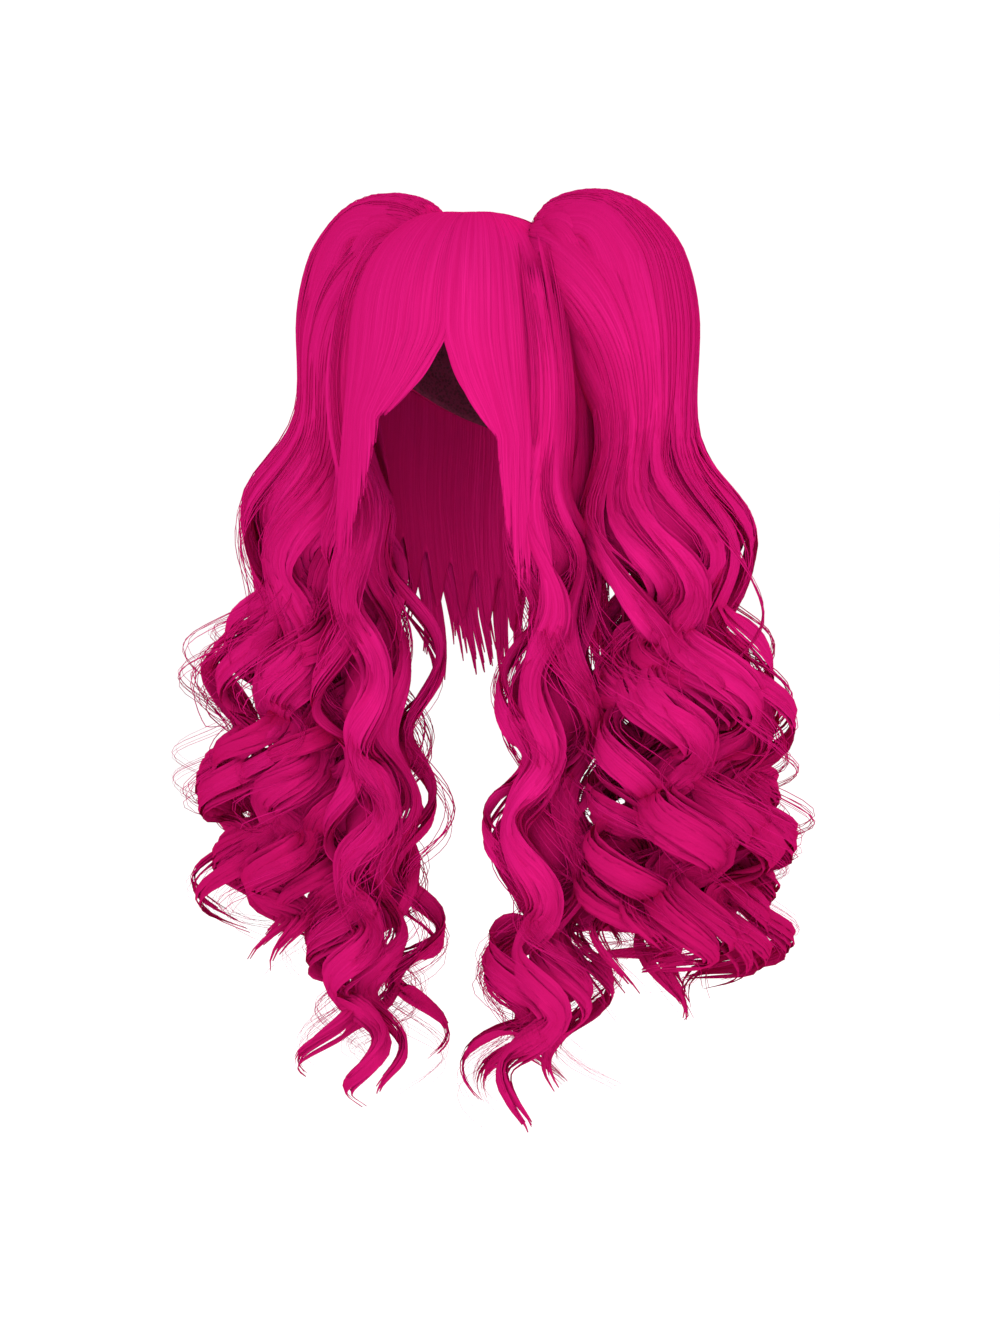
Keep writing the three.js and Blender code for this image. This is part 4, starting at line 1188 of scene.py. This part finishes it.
class WIG_OT_back(bpy.types.Operator):
    """Comb the curtain of hair round the back, from ear to ear"""

    bl_idname = "wig.comb_back"
    bl_label = "Back"

    def execute(self, context):
        sizes = context.scene.wig_sizes
        span = TURN - 2 * sizes.back_bearing

        def bearings(share, v, falls):
            return sizes.back_bearing + span * share + BACK_SWING * np.sin(v * TURN * 2 + share * TURN) * v

        def levels(share, v, random):
            edge = panel_edge(share)
            wave = sizes.back_wave * v * v * (1 + np.sin(v * 2 * TURN + share * TURN))
            lifted = sizes.layer_inside + 0.0006 + wave + (0.3 + 0.35 * random) * sizes.layer_thickness * edge
            rooted = sizes.crown_outside - BACK_SINK
            return rooted + (lifted - rooted) * smooth_step(v / BACK_RISE)

        def drop(share, random):
            shorter = BACK_SHORTER * np.abs(2 * share - 1) ** 2
            return sizes.back_drop * (1 - shorter) * (BACK_SHORTEST + BACK_UNEVEN * random)

        start, leave = (math.radians(slope) for slope in BACK_SLOPES)
        shape = (bearings, start, leave, drop, 0.0, levels)
        panel_base(context, "back_base", "back_hair", shape, 128, 40, 0.06, 17)
        comb_panel(context, "back_tresses", "back_hair", shape, sizes.seed + 30, 230, 34, BACK_COMB)
        return {"FINISHED"}


class WIG_OT_side_locks(bpy.types.Operator):
    """Comb the long wavy locks beside the face"""

    bl_idname = "wig.comb_side_locks"
    bl_label = "Side locks"

    def execute(self, context):
        sizes = context.scene.wig_sizes
        strands = {**LOOSE_STRANDS, "count": 80}
        for name, side in SIDES.items():
            line = side_line(sizes, side)
            seed = sizes.seed + 40 + side
            radius = sizes.side_curl_radius
            comb_sheaf(
                context, "side_lock_" + name, line, SIDE_LAG_TURN[name], radius, SIDE_TRESSES, strands, seed
            )
        return {"FINISHED"}


class WIG_OT_pigtails(bpy.types.Operator):
    """Comb the two high pigtails, from their gathers over the clips down to the tips of their curls"""

    bl_idname = "wig.comb_pigtails"
    bl_label = "Pigtails"

    def execute(self, context):
        sizes = context.scene.wig_sizes
        for name, side in SIDES.items():
            node = "pigtail_" + name
            lag_turn, radius, seed = PIGTAIL_LAG_TURN[name], sizes.curl_radius, sizes.seed + 60 + side
            line = pigtail_line(sizes, side)
            strands = {**LOOSE_STRANDS, "count": 100}
            comb_sheaf(context, node, line, lag_turn, radius, PIGTAIL_TRESSES, strands, seed)
            rng = np.random.default_rng(seed + 8)
            wisps = {**PIGTAIL_TRESSES, **WISPS}
            comb_strands(context, node + "_wisps", node, rng, line, lag_turn, radius, wisps)
            rng = np.random.default_rng(seed + 4)
            falling = pigtail_line(sizes, side, FALL_ROWS)
            comb_tresses(context, node + "_fall", node, rng, falling, lag_turn, radius, FALLING_TRESSES)
        return {"FINISHED"}


class WIG_OT_clips(bpy.types.Operator):
    """Give the hidden clips their moulded plastic"""

    bl_idname = "wig.finish_clips"
    bl_label = "Clips"

    def execute(self, context):
        material = clip_material(context.scene.wig_colours)
        for name in SIDES:
            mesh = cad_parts["clip_" + name].data
            mesh.materials.clear()
            mesh.materials.append(material)
        return {"FINISHED"}


class WIG_OT_stage(bpy.types.Operator):
    """Set the plain floor, the soft light and the camera"""

    bl_idname = "wig.set_stage"
    bl_label = "Stage"

    def execute(self, context):
        scene, colours = context.scene, context.scene.wig_colours
        scene.view_settings.view_transform = "Standard"
        scene.view_settings.look = "None"
        world = bpy.data.worlds.new("Soft white room")
        world.use_nodes = True
        background = world.node_tree.nodes["Background"]
        background.inputs["Color"].default_value = (1.0, 1.0, 1.0, 1.0)
        background.inputs["Strength"].default_value = 1.06
        scene.world = world

        half, level = 12.0, -0.95
        plane = bpy.data.meshes.new("floor")
        corners = [(-half, -half, level), (half, -half, level), (half, half, level), (-half, half, level)]
        plane.from_pydata(corners, [], [(0, 1, 2, 3)])
        floor = bpy.data.objects.new("floor", plane)
        scene.collection.objects.link(floor)
        material, _, shader = new_material("Pale floor")
        shader.inputs["Base Color"].default_value = (*colours.floor, 1.0)
        shader.inputs["Roughness"].default_value = 0.9
        plane.materials.append(material)

        target = Vector((0.015, 0.008, -0.332))
        for label, place, size, power in (
            ("Key light", (0.8, -2.2, 1.2), 1.6, 7),
            ("Fill light", (1.4, -2.2, -0.8), 2.0, 24),
            ("Back light", (0.4, 2.2, 1.4), 1.6, 20),
        ):
            light = bpy.data.lights.new(label, "AREA")
            light.shape = "DISK"
            light.size = size
            light.energy = power
            lamp = bpy.data.objects.new(label, light)
            lamp.location = place
            lamp.rotation_euler = (target - Vector(place)).to_track_quat("-Z", "Y").to_euler()
            scene.collection.objects.link(lamp)

        azimuth, elevation, distance = math.radians(28), math.radians(7), 2.2
        back = Vector(
            (
                math.sin(azimuth) * math.cos(elevation),
                -math.cos(azimuth) * math.cos(elevation),
                math.sin(elevation),
            )
        )
        camera = bpy.data.objects.new("Camera", bpy.data.cameras.new("Camera"))
        camera.data.sensor_width = 36.0
        camera.data.lens = 78.7
        camera.location = target + back * distance
        camera.rotation_euler = (-back).to_track_quat("-Z", "Y").to_euler()
        scene.collection.objects.link(camera)
        scene.camera = camera
        return {"FINISHED"}


OPERATORS = (
    WIG_OT_cap,
    WIG_OT_crown,
    WIG_OT_back,
    WIG_OT_fringe,
    WIG_OT_side_locks,
    WIG_OT_pigtails,
    WIG_OT_clips,
    WIG_OT_stage,
)


class WIG_PT_sidebar(bpy.types.Panel):
    """The wig's sizes, colours and steps"""

    bl_idname = "WIG_PT_sidebar"
    bl_label = "Wig"
    bl_space_type = "VIEW_3D"
    bl_region_type = "UI"
    bl_category = "Wig"

    def draw(self, context):
        layout = self.layout
        for group in (context.scene.wig_sizes, context.scene.wig_colours):
            box = layout.box()
            for name in group.bl_rna.properties.keys():
                if name not in {"rna_type", "name"}:
                    box.prop(group, name)
        for operator in OPERATORS:
            layout.operator(operator.bl_idname)


CLASSES = (WigSizes, WigColours, *OPERATORS, WIG_PT_sidebar)


def register():
    for cls in CLASSES:
        bpy.utils.register_class(cls)
    bpy.types.Scene.wig_sizes = PointerProperty(type=WigSizes)
    bpy.types.Scene.wig_colours = PointerProperty(type=WigColours)


def unregister():
    del bpy.types.Scene.wig_colours
    del bpy.types.Scene.wig_sizes
    for cls in reversed(CLASSES):
        bpy.utils.unregister_class(cls)


def main():
    """Registers the add-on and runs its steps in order."""
    register()
    bpy.ops.wig.make_cap()
    bpy.ops.wig.comb_crown()
    bpy.ops.wig.comb_back()
    bpy.ops.wig.comb_fringe()
    bpy.ops.wig.comb_side_locks()
    bpy.ops.wig.comb_pigtails()
    bpy.ops.wig.finish_clips()
    bpy.ops.wig.set_stage()
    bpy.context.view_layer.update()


if __name__ == "__main__":
    main()
